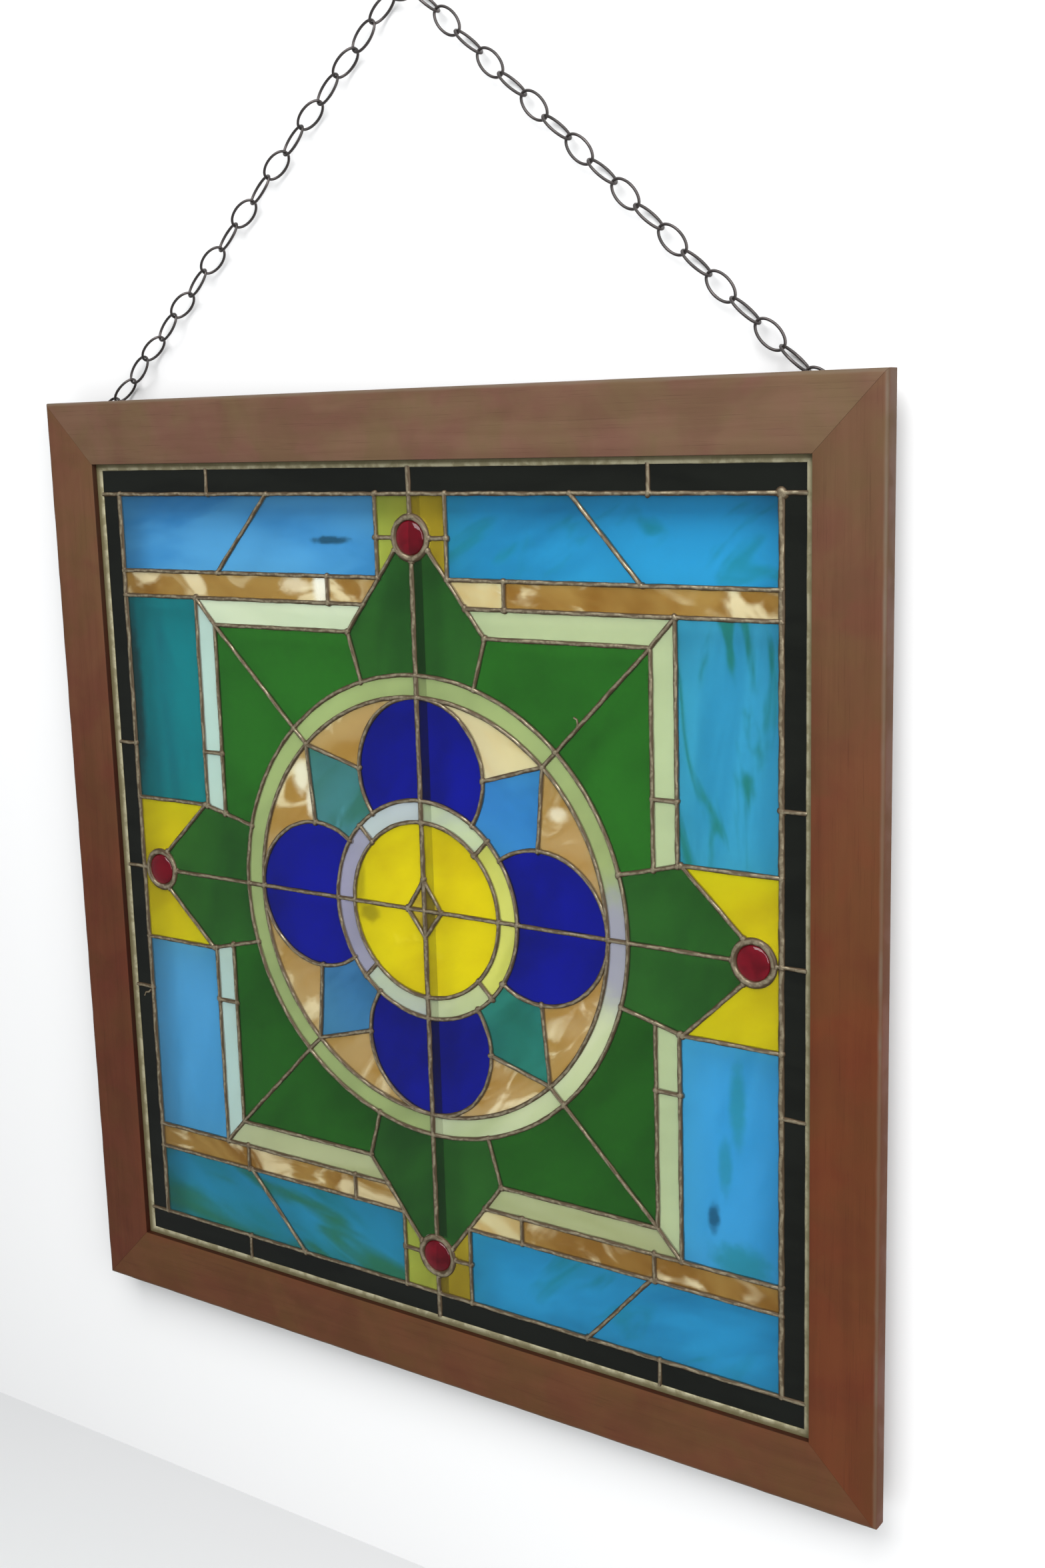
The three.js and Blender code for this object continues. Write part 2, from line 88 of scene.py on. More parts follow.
PANEL_HALF_X = span("solder_lines", 0)[1]
PANEL_HALF_Z = (span("solder_lines", 2)[1] - span("solder_lines", 2)[0]) / 2
PANEL_FRONT, PANEL_BACK = span("solder_lines", 1)
GLASS_FRONT, GLASS_BACK = -23.0, -20.0
GLASS_HALF_X, GLASS_HALF_Z = 460, 481

BORDER_X, BORDER_Z = 433, 452
AMBER_TOP_Z = 363
SQUARE_X, SQUARE_Z = 319, 333.5
FIELD_X, FIELD_Z = 291, 303
RING_OUT, RING_IN = 260, 236
HUB_OUT, HUB_IN = 123, 99
PETAL_R, PETAL_AT = 84, 152
JEWEL_AT_Z, JEWEL_AT_X = 406, 403
JEWEL_R, COLLAR_R = 18.5, 25.5
NECK_X = 46.5
SHOULDER_UP, FOOT_UP, TIP_UP = (92, 303), (76, 248.6), 421
SHOULDER_SIDE, FOOT_SIDE, TIP_SIDE = (323, 88), (250.4, 70), 416
QUAD_TIP = (160.25, 173.25)
DIAMOND_SIDE, DIAMOND_UP, DIAMOND_DOWN = 23, 35, 31

WIRE = 3
LINK_WIDTH = 24
LINKS = 18
EYE_X, EYE_Z = 476, FRAME_TOP - 25
EYE_HOLE_R = 4.5
EYE_SIDES = 8


# ---------- settings ----------
def tint(red, green, blue):
    """A colour given as 0 to 255 on screen, as linear light."""
    def linear(level):
        level /= 255
        return level / 12.92 if level <= 0.04045 else ((level + 0.055) / 1.055) ** 2.4

    return linear(red), linear(green), linear(blue)


def colour_prop(name, description, default):
    return FloatVectorProperty(
        name=name, description=description, default=default, size=3, min=0, max=1, subtype="COLOR"
    )


def length_prop(name, description, millimetres):
    return FloatProperty(name=name, description=description, default=millimetres * MM, unit="LENGTH")


class WINDOW_PG_sizes(PropertyGroup):
    seam: length_prop("Seam width", "Width of an ordinary solder bead", 4.8)
    spine: length_prop("Spine width", "Width of the upright middle bead", 6.4)
    bead: length_prop("Bead height", "How far a bead stands above the front of the glass", 2.0)
    back_bead: length_prop("Back bead height", "How far a bead stands behind the glass", 1.35)
    arris: length_prop("Frame rounding", "Radius of the frame's front outer edge", 4.5)
    jewel_bulge: length_prop("Jewel dome", "How far a jewel stands above the glass", 5.4)


class WINDOW_PG_glass(PropertyGroup):
    black: colour_prop("Black", "Opaque border glass", tint(20, 22, 18))
    sky: colour_prop("Sky blue", "Blue strips and side panels", tint(88, 162, 204))
    teal: colour_prop("Teal", "Blue-green side panel and kites", tint(20, 132, 138))
    amber: colour_prop("Amber", "Strips and wedges", tint(168, 133, 68))
    cream: colour_prop("Cream", "Light amber pieces", tint(216, 206, 162))
    pale: colour_prop("Pale green", "Square round the green field", tint(186, 198, 158))
    aqua: colour_prop("Pale aqua", "Left side of the square", tint(194, 215, 205))
    green: colour_prop("Bottle green", "Field and star", tint(44, 114, 34))
    yellow: colour_prop("Yellow", "Centre and side panes", tint(214, 202, 6))
    ring: colour_prop("Ring green", "Outer ring", tint(168, 184, 126))
    violet: colour_prop("Violet grey", "Parts of both rings", tint(166, 165, 182))
    cobalt: colour_prop("Cobalt", "Petals", tint(8, 20, 152))
    ruby: colour_prop("Ruby", "Jewels", tint(132, 14, 36))


class WINDOW_PG_finish(PropertyGroup):
    wood: colour_prop("Wood", "Stained and varnished frame", tint(100, 51, 24))
    # Painted reflection: this colour paints the sky reflecting on the varnish, greyer and lighter towards the top of
    # the frame.
    wood_top_sheen: colour_prop("Wood with painted top sheen", "Painted sky reflection, greyer near the top", tint(107, 80, 62))
    # Painted highlight: the crest colour is bare tin with a painted highlight along the top of each bead; the patina
    # beside it is the metal's own.
    tin: colour_prop("Solder crest", "Bright metal with painted highlight along the beads", tint(184, 172, 144))
    patina: colour_prop("Solder patina", "Brown metal beside the crest", tint(82, 67, 48))
    came: colour_prop("Channel", "Metal channel round the panel", tint(108, 100, 68))
    steel: colour_prop("Chain steel", "Dark chain, eyes and bar", tint(74, 69, 68))


class WINDOW_PG_stage(PropertyGroup):
    paper: colour_prop("Backdrop", "Floor and backdrop", (0.86, 0.86, 0.86))
    sky_light: FloatProperty(name="Room light", description="Even light from all round", default=0.26, min=0)
    lamp: FloatProperty(name="High lamp", description="Large soft lamp in front, above", default=150, min=0)
    side_lamp: FloatProperty(name="Side lamp", description="Large soft lamp at the right", default=70, min=0)
    floor: FloatProperty(name="Floor height", description="Height of the floor", default=-1.81, unit="LENGTH")


# ---------- meshes ----------
class Shell:
    """Gathers the points and faces of one mesh, in millimetres."""

    def __init__(self):
        self.points, self.faces, self.slots, self.marks = [], [], [], []

    def add(self, points, faces, slot=0, marks=None):
        start = len(self.points)
        self.points += points
        self.faces += [tuple(start + i for i in face) for face in faces]
        self.slots += [slot] * len(faces)
        self.marks += marks if marks is not None else [0.0] * len(points)

    def loft(self, rings, closed=False, capped=True, slot=0, marks=None):
        """Joins equal rings of points into one skin."""
        n, count = len(rings[0]), len(rings)
        faces = []
        for i in range(count if closed else count - 1):
            a, b = i * n, (i + 1) % count * n
            faces += [(a + k, a + (k + 1) % n, b + (k + 1) % n, b + k) for k in range(n)]
        if capped and not closed:
            faces.append(tuple(reversed(range(n))))
            faces.append(tuple((count - 1) * n + k for k in range(n)))
        self.add([p for ring in rings for p in ring], faces, slot, marks)


def make_piece(name, shell, materials, nodes, smooth=38, lift=0.0):
    """Makes the mesh object, lets it ride on the part and stand for its CAD nodes."""
    mesh = bpy.data.meshes.new(name)
    mesh.from_pydata([(x * MM, y * MM, (z + lift) * MM) for x, y, z in shell.points], [], shell.faces)
    for material in materials:
        mesh.materials.append(material)
    mesh.polygons.foreach_set("material_index", shell.slots)
    mark = mesh.attributes.new("mark", "FLOAT", "POINT")
    mark.data.foreach_set("value", shell.marks)
    work = bmesh.new()
    work.from_mesh(mesh)
    bmesh.ops.recalc_face_normals(work, faces=work.faces)
    work.to_mesh(mesh)
    work.free()
    mesh.polygons.foreach_set("use_smooth", [True] * len(mesh.polygons))
    mesh.set_sharp_from_angle(angle=math.radians(smooth))
    piece = bpy.data.objects.new(name, mesh)
    bpy.context.scene.collection.objects.link(piece)
    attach(piece, "root")
    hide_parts(*nodes)
    return piece


def arc(centre, radius, start, end, step=3.0):
    """Points along an arc, angles in degrees, about `step` millimetres apart."""
    count = max(2, math.ceil(abs(math.radians(end - start)) * radius / step))
    angles = [math.radians(start + (end - start) * i / count) for i in range(count + 1)]
    return [(centre[0] + radius * math.cos(a), centre[1] + radius * math.sin(a)) for a in angles]


def angle_of(point, centre=(0, 0)):
    return math.degrees(math.atan2(point[1] - centre[1], point[0] - centre[0]))


def area_of(outline):
    ring = zip(outline, outline[1:] + outline[:1])
    return sum(a[0] * b[1] - b[0] * a[1] for a, b in ring) / 2


def shrunk(outline, distance):
    """The outline moved inwards, with the shift at sharp corners held back."""
    if area_of(outline) < 0:
        outline = outline[::-1]
    clean = [p for i, p in enumerate(outline) if math.dist(p, outline[i - 1]) > 0.05]
    result = []
    for i, point in enumerate(clean):
        before, after = clean[i - 1], clean[(i + 1) % len(clean)]
        first = Vector((point[0] - before[0], point[1] - before[1])).normalized()
        second = Vector((after[0] - point[0], after[1] - point[1])).normalized()
        normal_a, normal_b = Vector((-first.y, first.x)), Vector((-second.y, second.x))
        middle = normal_a + normal_b
        if middle.length < 0.2:
            middle = second - first
        middle.normalize()
        reach = distance / max(0.35, middle.dot(normal_a))
        result.append((point[0] + middle.x * reach, point[1] + middle.y * reach))
    return result


def wobble(seed):
    """A smooth uneven value along a length, about -1 to 1."""
    draw = random.Random(seed)
    waves = [
        (share, draw.uniform(*pitch), draw.uniform(0, math.tau))
        for share, pitch in ((0.45, (60, 110)), (0.35, (22, 40)), (0.2, (8, 14)))
    ]
    return lambda s: sum(a * math.sin(math.tau * s / length + p) for a, length, p in waves)


BEAD_ANGLES = [math.radians(a) for a in (-14, 16, 50, 90, 130, 164, 194)]


def spaced(path, step):
    """The path with points no further apart than `step`."""
    points = [path[0]]
    for a, b in zip(path, path[1:]):
        count = max(1, round(math.dist(a, b) / step))
        points += [
            (a[0] + (b[0] - a[0]) * i / count, a[1] + (b[1] - a[1]) * i / count)
            for i in range(1, count + 1)
        ]
    return points


def bead(shell, path, width, height, base, toward, seed, closed=False, slot=0, ends=(1, 1)):
    """A run of solder along a path on one face of the glass."""
    path = spaced(path + path[:1] if closed else path, 4.0)
    if closed:
        path = path[:-1]
    count = len(path)
    wide, tall, aside, highlight_lean = (wobble(seed + i) for i in (0, 1, 2, 7))
    rings, marks, run = [], [], 0.0
    for i, (x, z) in enumerate(path):
        before = path[i - 1] if i or closed else path[0]
        after = path[(i + 1) % count] if i < count - 1 or closed else path[-1]
        way = Vector((after[0] - before[0], after[1] - before[1])).normalized()
        share = i / max(1, count - 1)
        taper = 1 if closed else ends[0] + (ends[1] - ends[0]) * share
        fade = math.sin(math.pi * share) ** 0.5 if closed else 1
        half = width / 2 * taper * (1 + 0.13 * wide(run) * fade)
        rise = height * taper * (1 + 0.16 * tall(run) * fade)
        shift = 0.3 * aside(run) * fade
        ring = []
        for angle in BEAD_ANGLES:
            u = half * math.cos(angle) + shift
            ring.append((x - way.y * u, base + toward * rise * math.sin(angle), z + way.x * u))
            # Painted highlight: the marks peak along the bead's crest, drifting to one side along the run, and the
            # solder paints its bright tin colour there; the patina in the hollows beside it is real.
            marks.append(max(0.0, math.sin(angle + 0.55 * highlight_lean(run))) ** 2)
        rings.append(ring)
        run += math.dist(before, (x, z))
    shell.loft(rings, closed=closed, slot=slot, marks=marks)


def blob(shell, x, z, radius, height, base, toward, seed, slot=0):
    """A lump of solder where beads meet."""
    draw = random.Random(seed)
    phase, sides = draw.uniform(0, math.tau), 14
    rings, marks = [], []
    for level in (-0.2, 0.0, 0.45, 0.78, 0.95):
        reach = math.sqrt(max(0.0, 1 - level * level))
        ring = []
        for k in range(sides):
            a = math.tau * k / sides
            r = radius * reach * (1 + 0.13 * math.sin(2 * a + phase) + 0.07 * math.sin(3 * a - phase))
            ring.append((x + r * math.cos(a), base + toward * height * level, z + r * math.sin(a)))
            # Painted highlight: the marks rise towards the top of the lump, where the solder paints its bright colour.
            marks.append(max(0.0, level) ** 1.5)
        rings.append(ring)
    shell.loft(rings, slot=slot, marks=marks)


# ---------- the pattern ----------
STAR_SLOPE = (TIP_UP - SHOULDER_UP[1]) / SHOULDER_UP[0]
SLANT_AT_AMBER = ((TIP_UP - AMBER_TOP_Z) / STAR_SLOPE, AMBER_TOP_Z)
SLANT_AT_SQUARE = ((TIP_UP - SQUARE_Z) / STAR_SLOPE, SQUARE_Z)
SIDE_SLOPE = (SHOULDER_SIDE[1] - FOOT_SIDE[1]) / (SHOULDER_SIDE[0] - FOOT_SIDE[0])
EDGE_AT_FIELD = (FIELD_X, SHOULDER_SIDE[1] - (SHOULDER_SIDE[0] - FIELD_X) * SIDE_SLOPE)
EDGE_AT_SQUARE = (SQUARE_X, SHOULDER_SIDE[1] - (SHOULDER_SIDE[0] - SQUARE_X) * SIDE_SLOPE)
UP_JEWEL, SIDE_JEWEL = (0, JEWEL_AT_Z), (JEWEL_AT_X, 0)
UP_PETAL, SIDE_PETAL = (0, PETAL_AT), (PETAL_AT, 0)


def where_line_meets(start, end, centre, radius):
    """The first point from start towards end that lies on the circle."""
    a, d = Vector(start), Vector(end) - Vector(start)
    rel = a - Vector(centre)
    half, rest = rel.dot(d), rel.dot(rel) - radius * radius
    share = (-half - math.sqrt(half * half - d.dot(d) * rest)) / d.dot(d)
    return tuple(a + d * share)


SLANT_AT_UP_JEWEL = where_line_meets(SHOULDER_UP, (0, TIP_UP), UP_JEWEL, COLLAR_R)
SLANT_AT_SIDE_JEWEL = where_line_meets(SHOULDER_SIDE, (TIP_SIDE, 0), SIDE_JEWEL, COLLAR_R)
DIAGONAL_AT_RING = where_line_meets((SQUARE_X, SQUARE_Z), QUAD_TIP, (0, 0), RING_OUT)
HUB_CUT = math.degrees(
    math.acos((HUB_OUT**2 + PETAL_AT**2 - PETAL_R**2) / (2 * HUB_OUT * PETAL_AT))
)  # angle at the centre between a petal's axis and where its edge meets the hub
PETAL_NECK_UP = arc((0, 0), HUB_OUT, 90 - HUB_CUT, 90)[0]
PETAL_NECK_SIDE = arc((0, 0), HUB_OUT, HUB_CUT, 0)[0]
TIP_ANGLE, FIELD_ANGLE = angle_of(QUAD_TIP), angle_of(DIAGONAL_AT_RING)


def quadrant_panes(diamond, lower):
    """Every pane of the upper right quarter as (part, pane, outline)."""
    neck_up = angle_of(PETAL_NECK_UP, UP_PETAL)
    neck_side = angle_of(PETAL_NECK_SIDE, SIDE_PETAL)
    thin_up, thin_side = arc(UP_PETAL, PETAL_R, 74, 0), arc(SIDE_PETAL, PETAL_R, 90, 16)
    amber_cuts = [118, 286, BORDER_X] if lower else [118, BORDER_X]
    foot_up, foot_side = angle_of(FOOT_UP), angle_of(FOOT_SIDE)

    def block(x0, z0, x1, z1):
        return [(x0, z0), (x1, z0), (x1, z1), (x0, z1)]

    panes = [
        ("border_{level}", "inner", block(0, BORDER_Z, 291, GLASS_HALF_Z)),
        ("border_{level}", "outer", block(291, BORDER_Z, GLASS_HALF_X, GLASS_HALF_Z)),
        ("border_{side}", "inner", block(BORDER_X, 0, GLASS_HALF_X, 154)),
        ("border_{side}", "outer", block(BORDER_X, 154, GLASS_HALF_X, BORDER_Z)),
        ("blue_strip_{corner}", "inner", [(NECK_X, AMBER_TOP_Z), (282, AMBER_TOP_Z), (201, BORDER_Z), (NECK_X, BORDER_Z)]),
        ("blue_strip_{corner}", "outer", [(282, AMBER_TOP_Z), (BORDER_X, AMBER_TOP_Z), (BORDER_X, BORDER_Z), (201, BORDER_Z)]),
        ("yellow_{level}", "upper", [(0, BORDER_Z), (NECK_X, BORDER_Z), (NECK_X, JEWEL_AT_Z)] + arc(UP_JEWEL, COLLAR_R, 0, 90)),
        ("yellow_{level}", "lower", [(NECK_X, JEWEL_AT_Z), (NECK_X, AMBER_TOP_Z), SLANT_AT_AMBER] + arc(UP_JEWEL, COLLAR_R, angle_of(SLANT_AT_UP_JEWEL, UP_JEWEL), 0)),
        ("pale_corner_{corner}", "level", [SHOULDER_UP, (FIELD_X, FIELD_Z), (SQUARE_X, SQUARE_Z), SLANT_AT_SQUARE]),
        ("pale_corner_{corner}", "upright", [(FIELD_X, FIELD_Z), (FIELD_X, 152), (SQUARE_X, 152), (SQUARE_X, SQUARE_Z)]),
        ("pale_corner_{corner}", "foot", [(FIELD_X, 152), EDGE_AT_FIELD, EDGE_AT_SQUARE, (SQUARE_X, 152)]),
        ("blue_panel_{corner}", "whole", [(SQUARE_X, SQUARE_Z), (BORDER_X, SQUARE_Z), (BORDER_X, 88), SHOULDER_SIDE, EDGE_AT_SQUARE]),
        ("yellow_side_{corner}", "whole", [SHOULDER_SIDE, (BORDER_X, 88), (BORDER_X, 0)] + arc(SIDE_JEWEL, COLLAR_R, 0, angle_of(SLANT_AT_SIDE_JEWEL, SIDE_JEWEL))),
        ("star_{level}", "half", arc(UP_JEWEL, COLLAR_R, -90, angle_of(SLANT_AT_UP_JEWEL, UP_JEWEL)) + [SHOULDER_UP] + arc((0, 0), RING_OUT, foot_up, 90)),
        ("star_{side}", "half", arc(SIDE_JEWEL, COLLAR_R, 180, angle_of(SLANT_AT_SIDE_JEWEL, SIDE_JEWEL)) + [SHOULDER_SIDE] + arc((0, 0), RING_OUT, foot_side, 0)),
        ("green_field_{corner}", "level", [SHOULDER_UP, (FIELD_X, FIELD_Z)] + arc((0, 0), RING_OUT, FIELD_ANGLE, foot_up)),
        ("green_field_{corner}", "upright", [(FIELD_X, FIELD_Z), EDGE_AT_FIELD] + arc((0, 0), RING_OUT, foot_side, FIELD_ANGLE)),
        ("outer_ring", "low", arc((0, 0), RING_IN, 0, TIP_ANGLE) + arc((0, 0), RING_OUT, FIELD_ANGLE, 0)),
        ("outer_ring", "high", arc((0, 0), RING_IN, TIP_ANGLE, 90) + arc((0, 0), RING_OUT, 90, FIELD_ANGLE)),
        ("spandrel_{corner}", "kite", [QUAD_TIP] + arc(UP_PETAL, PETAL_R, 0, neck_up) + arc((0, 0), HUB_OUT, 90 - HUB_CUT, HUB_CUT) + arc(SIDE_PETAL, PETAL_R, neck_side, 90)),
        ("spandrel_{corner}", "high", arc((0, 0), RING_IN, TIP_ANGLE, angle_of(thin_up[0])) + thin_up),
        ("spandrel_{corner}", "low", thin_side + arc((0, 0), RING_IN, angle_of(thin_side[-1]), TIP_ANGLE)),
        ("petal_{level}", "half", arc((0, 0), HUB_OUT, 90, 90 - HUB_CUT) + arc(UP_PETAL, PETAL_R, neck_up, 90)),
        ("petal_{side}", "half", arc((0, 0), HUB_OUT, 0, HUB_CUT) + arc(SIDE_PETAL, PETAL_R, neck_side, 0)),
        ("inner_ring", "low", arc((0, 0), HUB_IN, 0, 45) + arc((0, 0), HUB_OUT, 45, 0)),
        ("inner_ring", "high", arc((0, 0), HUB_IN, 45, 90) + arc((0, 0), HUB_OUT, 90, 45)),
        ("centre_disc", "disc", arc((0, 0), HUB_IN, 90, 0) + [(DIAMOND_SIDE, 0), (0, diamond)]),
        ("centre_disc", "diamond", [(0, 0), (DIAMOND_SIDE, 0), (0, diamond)]),
    ]
    for index, (x0, x1) in enumerate(zip([SLANT_AT_SQUARE[0]] + amber_cuts, amber_cuts)):
        top = SLANT_AT_AMBER[0] if index == 0 else x0
        outline = [(x0, SQUARE_Z), (x1, SQUARE_Z), (x1, AMBER_TOP_Z), (top, AMBER_TOP_Z)]
        panes.append(("amber_strip_{corner}", str(index), outline))
    return panes


def all_panes():
    """Every pane of the panel as (part, pane, quarter, outline)."""
    result = []
    for sx, sz in QUARTERS:
        names = {
            "level": "top" if sz > 0 else "bottom",
            "side": "right" if sx > 0 else "left",
            "corner": QUARTERS[sx, sz],
        }
        for part, pane, outline in quadrant_panes(DIAMOND_UP if sz > 0 else DIAMOND_DOWN, sz < 0):
            placed = [(sx * x, sz * z) for x, z in outline]
            result.append((part.format(**names), pane, QUARTERS[sx, sz], placed))
    return result


QUARTERS = {(-1, 1): "upper_left", (1, 1): "upper_right", (-1, -1): "lower_left", (1, -1): "lower_right"}


def seam_paths(seam, spine):
    """Every run of solder as (path, width, closed)."""
    runs = []
    for s in (-1, 1):
        runs.append(([(s * BORDER_X, -BORDER_Z), (s * BORDER_X, BORDER_Z)], seam * 1.4, False))
        runs.append(([(-GLASS_HALF_X, s * BORDER_Z), (GLASS_HALF_X, s * BORDER_Z)], seam, False))
        runs.append(([(0, s * (JEWEL_AT_Z + 24)), (0, s * GLASS_HALF_Z)], spine, False))
        runs.append(([(s * (JEWEL_AT_X + 24), 0), (s * GLASS_HALF_X, 0)], seam, False))
    runs.append(([(0, 24 - JEWEL_AT_Z), (0, JEWEL_AT_Z - 24)], spine, False))
    runs.append(([(24 - JEWEL_AT_X, 0), (JEWEL_AT_X - 24, 0)], seam, False))
    for radius in (RING_OUT, RING_IN, HUB_OUT, HUB_IN):
        runs.append((arc((0, 0), radius, 0, 360)[:-1], seam, True))
    neck_up = angle_of(PETAL_NECK_UP, UP_PETAL)
    hub_joint = [(r * math.sqrt(0.5), r * math.sqrt(0.5)) for r in (HUB_IN, HUB_OUT)]
    for sx, sz in QUARTERS:
        lines = [
            [(NECK_X, AMBER_TOP_Z), (BORDER_X, AMBER_TOP_Z)],
            [SLANT_AT_SQUARE, (BORDER_X, SQUARE_Z)],
            [(NECK_X, AMBER_TOP_Z - 2), (NECK_X, BORDER_Z)],
            [SHOULDER_UP, SLANT_AT_UP_JEWEL],
            [SHOULDER_UP, FOOT_UP],
            [SHOULDER_UP, (FIELD_X, FIELD_Z), EDGE_AT_FIELD],
            [(SQUARE_X, SQUARE_Z), EDGE_AT_SQUARE],
            [SHOULDER_SIDE, (BORDER_X, 88)],
            [SHOULDER_SIDE, SLANT_AT_SIDE_JEWEL],
            [SHOULDER_SIDE, FOOT_SIDE],
            [(291, BORDER_Z), (291, GLASS_HALF_Z)],
            [(BORDER_X, 154), (GLASS_HALF_X, 154)],
            [(201, BORDER_Z), (282, AMBER_TOP_Z)],
            [(118, SQUARE_Z), (118, AMBER_TOP_Z)],
            [(SQUARE_X, SQUARE_Z), (FIELD_X, FIELD_Z), QUAD_TIP],
            [(FIELD_X, 152), (SQUARE_X, 152)],
            [QUAD_TIP, (PETAL_R, PETAL_AT)],
            [QUAD_TIP, (PETAL_AT, PETAL_R)],
            [(NECK_X, JEWEL_AT_Z), (24, JEWEL_AT_Z)],
            [(0, DIAMOND_UP if sz > 0 else DIAMOND_DOWN), (DIAMOND_SIDE, 0)],
            hub_joint,
            arc(UP_PETAL, PETAL_R, neck_up, 90),
            [(z, x) for x, z in arc(UP_PETAL, PETAL_R, neck_up, 90)],
        ]
        if sz < 0:
            lines.append([(286, SQUARE_Z), (286, AMBER_TOP_Z)])
        runs += [([(sx * x, sz * z) for x, z in line], seam, False) for line in lines]
    return runs


def seam_joints(runs):
    """Where beads end or cross, no two closer than 3 mm."""
    marks = []
    for path, _, closed in runs:
        if not closed:
            marks += [path[0], path[-1]]
    for s in (-1, 1):
        marks += [(0, s * z) for z in (BORDER_Z, RING_OUT, RING_IN, HUB_OUT, HUB_IN)]
        marks += [(s * x, 0) for x in (BORDER_X, RING_OUT, RING_IN, HUB_OUT, HUB_IN)]
    marks += [(0, 0)] + [(sx * DIAGONAL_AT_RING[0], sz * DIAGONAL_AT_RING[1]) for sx, sz in QUARTERS]
    kept = []
    for x, z in marks:
        at_edge = abs(x) > GLASS_HALF_X - 1 or abs(z) > GLASS_HALF_Z - 1
        if not at_edge and all(math.dist((x, z), k) > 3 for k in kept):
            kept.append((x, z))
    return kept


# ---------- shader building ----------
class Graph:
    """Short ways to add and join the nodes of one tree."""

    def __init__(self, tree):
        self.tree = tree

    def new(self, kind, inputs=None, **settings):
        made = self.tree.nodes.new("ShaderNode" + kind)
        for key, value in settings.items():
            setattr(made, key, value)
        for key, value in (inputs or {}).items():
            self.put(made.inputs[key], value)
        return made

    def put(self, socket, value):
        if isinstance(value, bpy.types.NodeSocket):
            self.tree.links.new(value, socket)
        elif socket.type == "RGBA" and len(value) == 3:
            socket.default_value = (*value, 1)
        else:
            socket.default_value = value

    def maths(self, operation, a, b=0.0, clamp=False):
        made = self.new("Math", operation=operation, use_clamp=clamp)
        self.put(made.inputs[0], a)
        self.put(made.inputs[1], b)
        return made.outputs[0]

    def vector(self, operation, a, b):
        made = self.new("VectorMath", operation=operation)
        self.put(made.inputs[0], a)
        self.put(made.inputs[1], b)
        return made.outputs["Value" if operation in ("LENGTH", "DISTANCE", "DOT_PRODUCT") else "Vector"]

    def mix(self, share, a, b, blend="MIX"):
        made = self.new("Mix", data_type="RGBA", blend_type=blend, clamp_factor=True)
        self.put(made.inputs[0], share)
        self.put(made.inputs[6], a)
        self.put(made.inputs[7], b)
        return made.outputs[2]

    def ramp(self, value, low, high, to_low=0.0, to_high=1.0):
        made = self.new("MapRange", interpolation_type="SMOOTHSTEP")
        for key, item in zip(("Value", "From Min", "From Max", "To Min", "To Max"), (value, low, high, to_low, to_high)):
            self.put(made.inputs[key], item)
        return made.outputs["Result"]

    def noise(self, vector, scale, detail=3.0, roughness=0.5, distortion=0.0):
        inputs = {"Scale": scale, "Detail": detail, "Roughness": roughness, "Distortion": distortion, "Vector": vector}
        return self.new("TexNoise", inputs).outputs["Fac"]

    def place(self):
        return self.new("TexCoord").outputs["Object"]

    def group(self, tree, **inputs):
        made = self.new("Group")
        made.node_tree = tree
        for key, value in inputs.items():
            self.put(made.inputs[key.replace("_", " ")], value)
        return made


KINDS = {"float": "NodeSocketFloat", "vector": "NodeSocketVector", "colour": "NodeSocketColor"}


def node_group(name, inputs, outputs):
    """A shader node group with named sockets: (graph, its inputs, its output node)."""
    tree = bpy.data.node_groups.new(name, "ShaderNodeTree")
    for label, kind, default in inputs:
        socket = tree.interface.new_socket(label, in_out="INPUT", socket_type=KINDS[kind])
        if default is not None:
            socket.default_value = default
    for label, kind in outputs:
        tree.interface.new_socket(label, in_out="OUTPUT", socket_type=KINDS[kind])
    graph = Graph(tree)
    source = tree.nodes.new("NodeGroupInput")
    return graph, source.outputs, tree.nodes.new("NodeGroupOutput").inputs


def make_streaks():
    """Streaks and wisps in rolled art glass, long along one direction of the sheet."""
    graph, given, result = node_group(
        "glass_streaks",
        [
            ("Vector", "vector", None),
            ("Turn", "float", 0.0),
            ("Scale", "float", 20.0),
            ("Stretch", "float", 4.0),
            ("Swirl", "float", 0.6),
            ("Low", "float", 0.4),
            ("High", "float", 0.65),
        ],
        [("Mask", "float"), ("Fine", "float")],
    )
    turned = graph.new("VectorRotate", {"Vector": given["Vector"], "Angle": given["Turn"]}, rotation_type="Y_AXIS")
    long_way = graph.maths("DIVIDE", given["Scale"], given["Stretch"])
    scale = graph.new("CombineXYZ", {"X": long_way, "Y": 0.0, "Z": given["Scale"]})
    point = graph.vector("MULTIPLY", turned.outputs[0], scale.outputs[0])
    broad = graph.noise(point, 1.0, 3.0, 0.5, given["Swirl"])
    fine = graph.noise(point, 4.2, 4.0, 0.6, given["Swirl"])
    result_mask = graph.ramp(broad, given["Low"], given["High"])
    graph.put(result["Mask"], result_mask)
    graph.put(result["Fine"], graph.ramp(fine, 0.35, 0.7))
    return graph.tree


def make_ripple():
    """Slight unevenness of hand-rolled glass."""
    graph, given, result = node_group(
        "glass_ripple",
        [("Vector", "vector", None), ("Scale", "float", 45.0)],
        [("Height", "float"), ("Dust", "float")],
    )
    wave = graph.noise(given["Vector"], given["Scale"], 2.0, 0.5, 0.4)
    seeds = graph.noise(given["Vector"], 420.0, 2.0, 0.6)
    graph.put(result["Height"], graph.maths("MULTIPLY_ADD", seeds, 0.12))
    adder = result["Height"].links[0].from_node
    graph.put(adder.inputs[2], wave)
    graph.put(result["Dust"], graph.ramp(graph.noise(given["Vector"], 90.0, 4.0, 0.7), 0.35, 0.8))
    return graph.tree


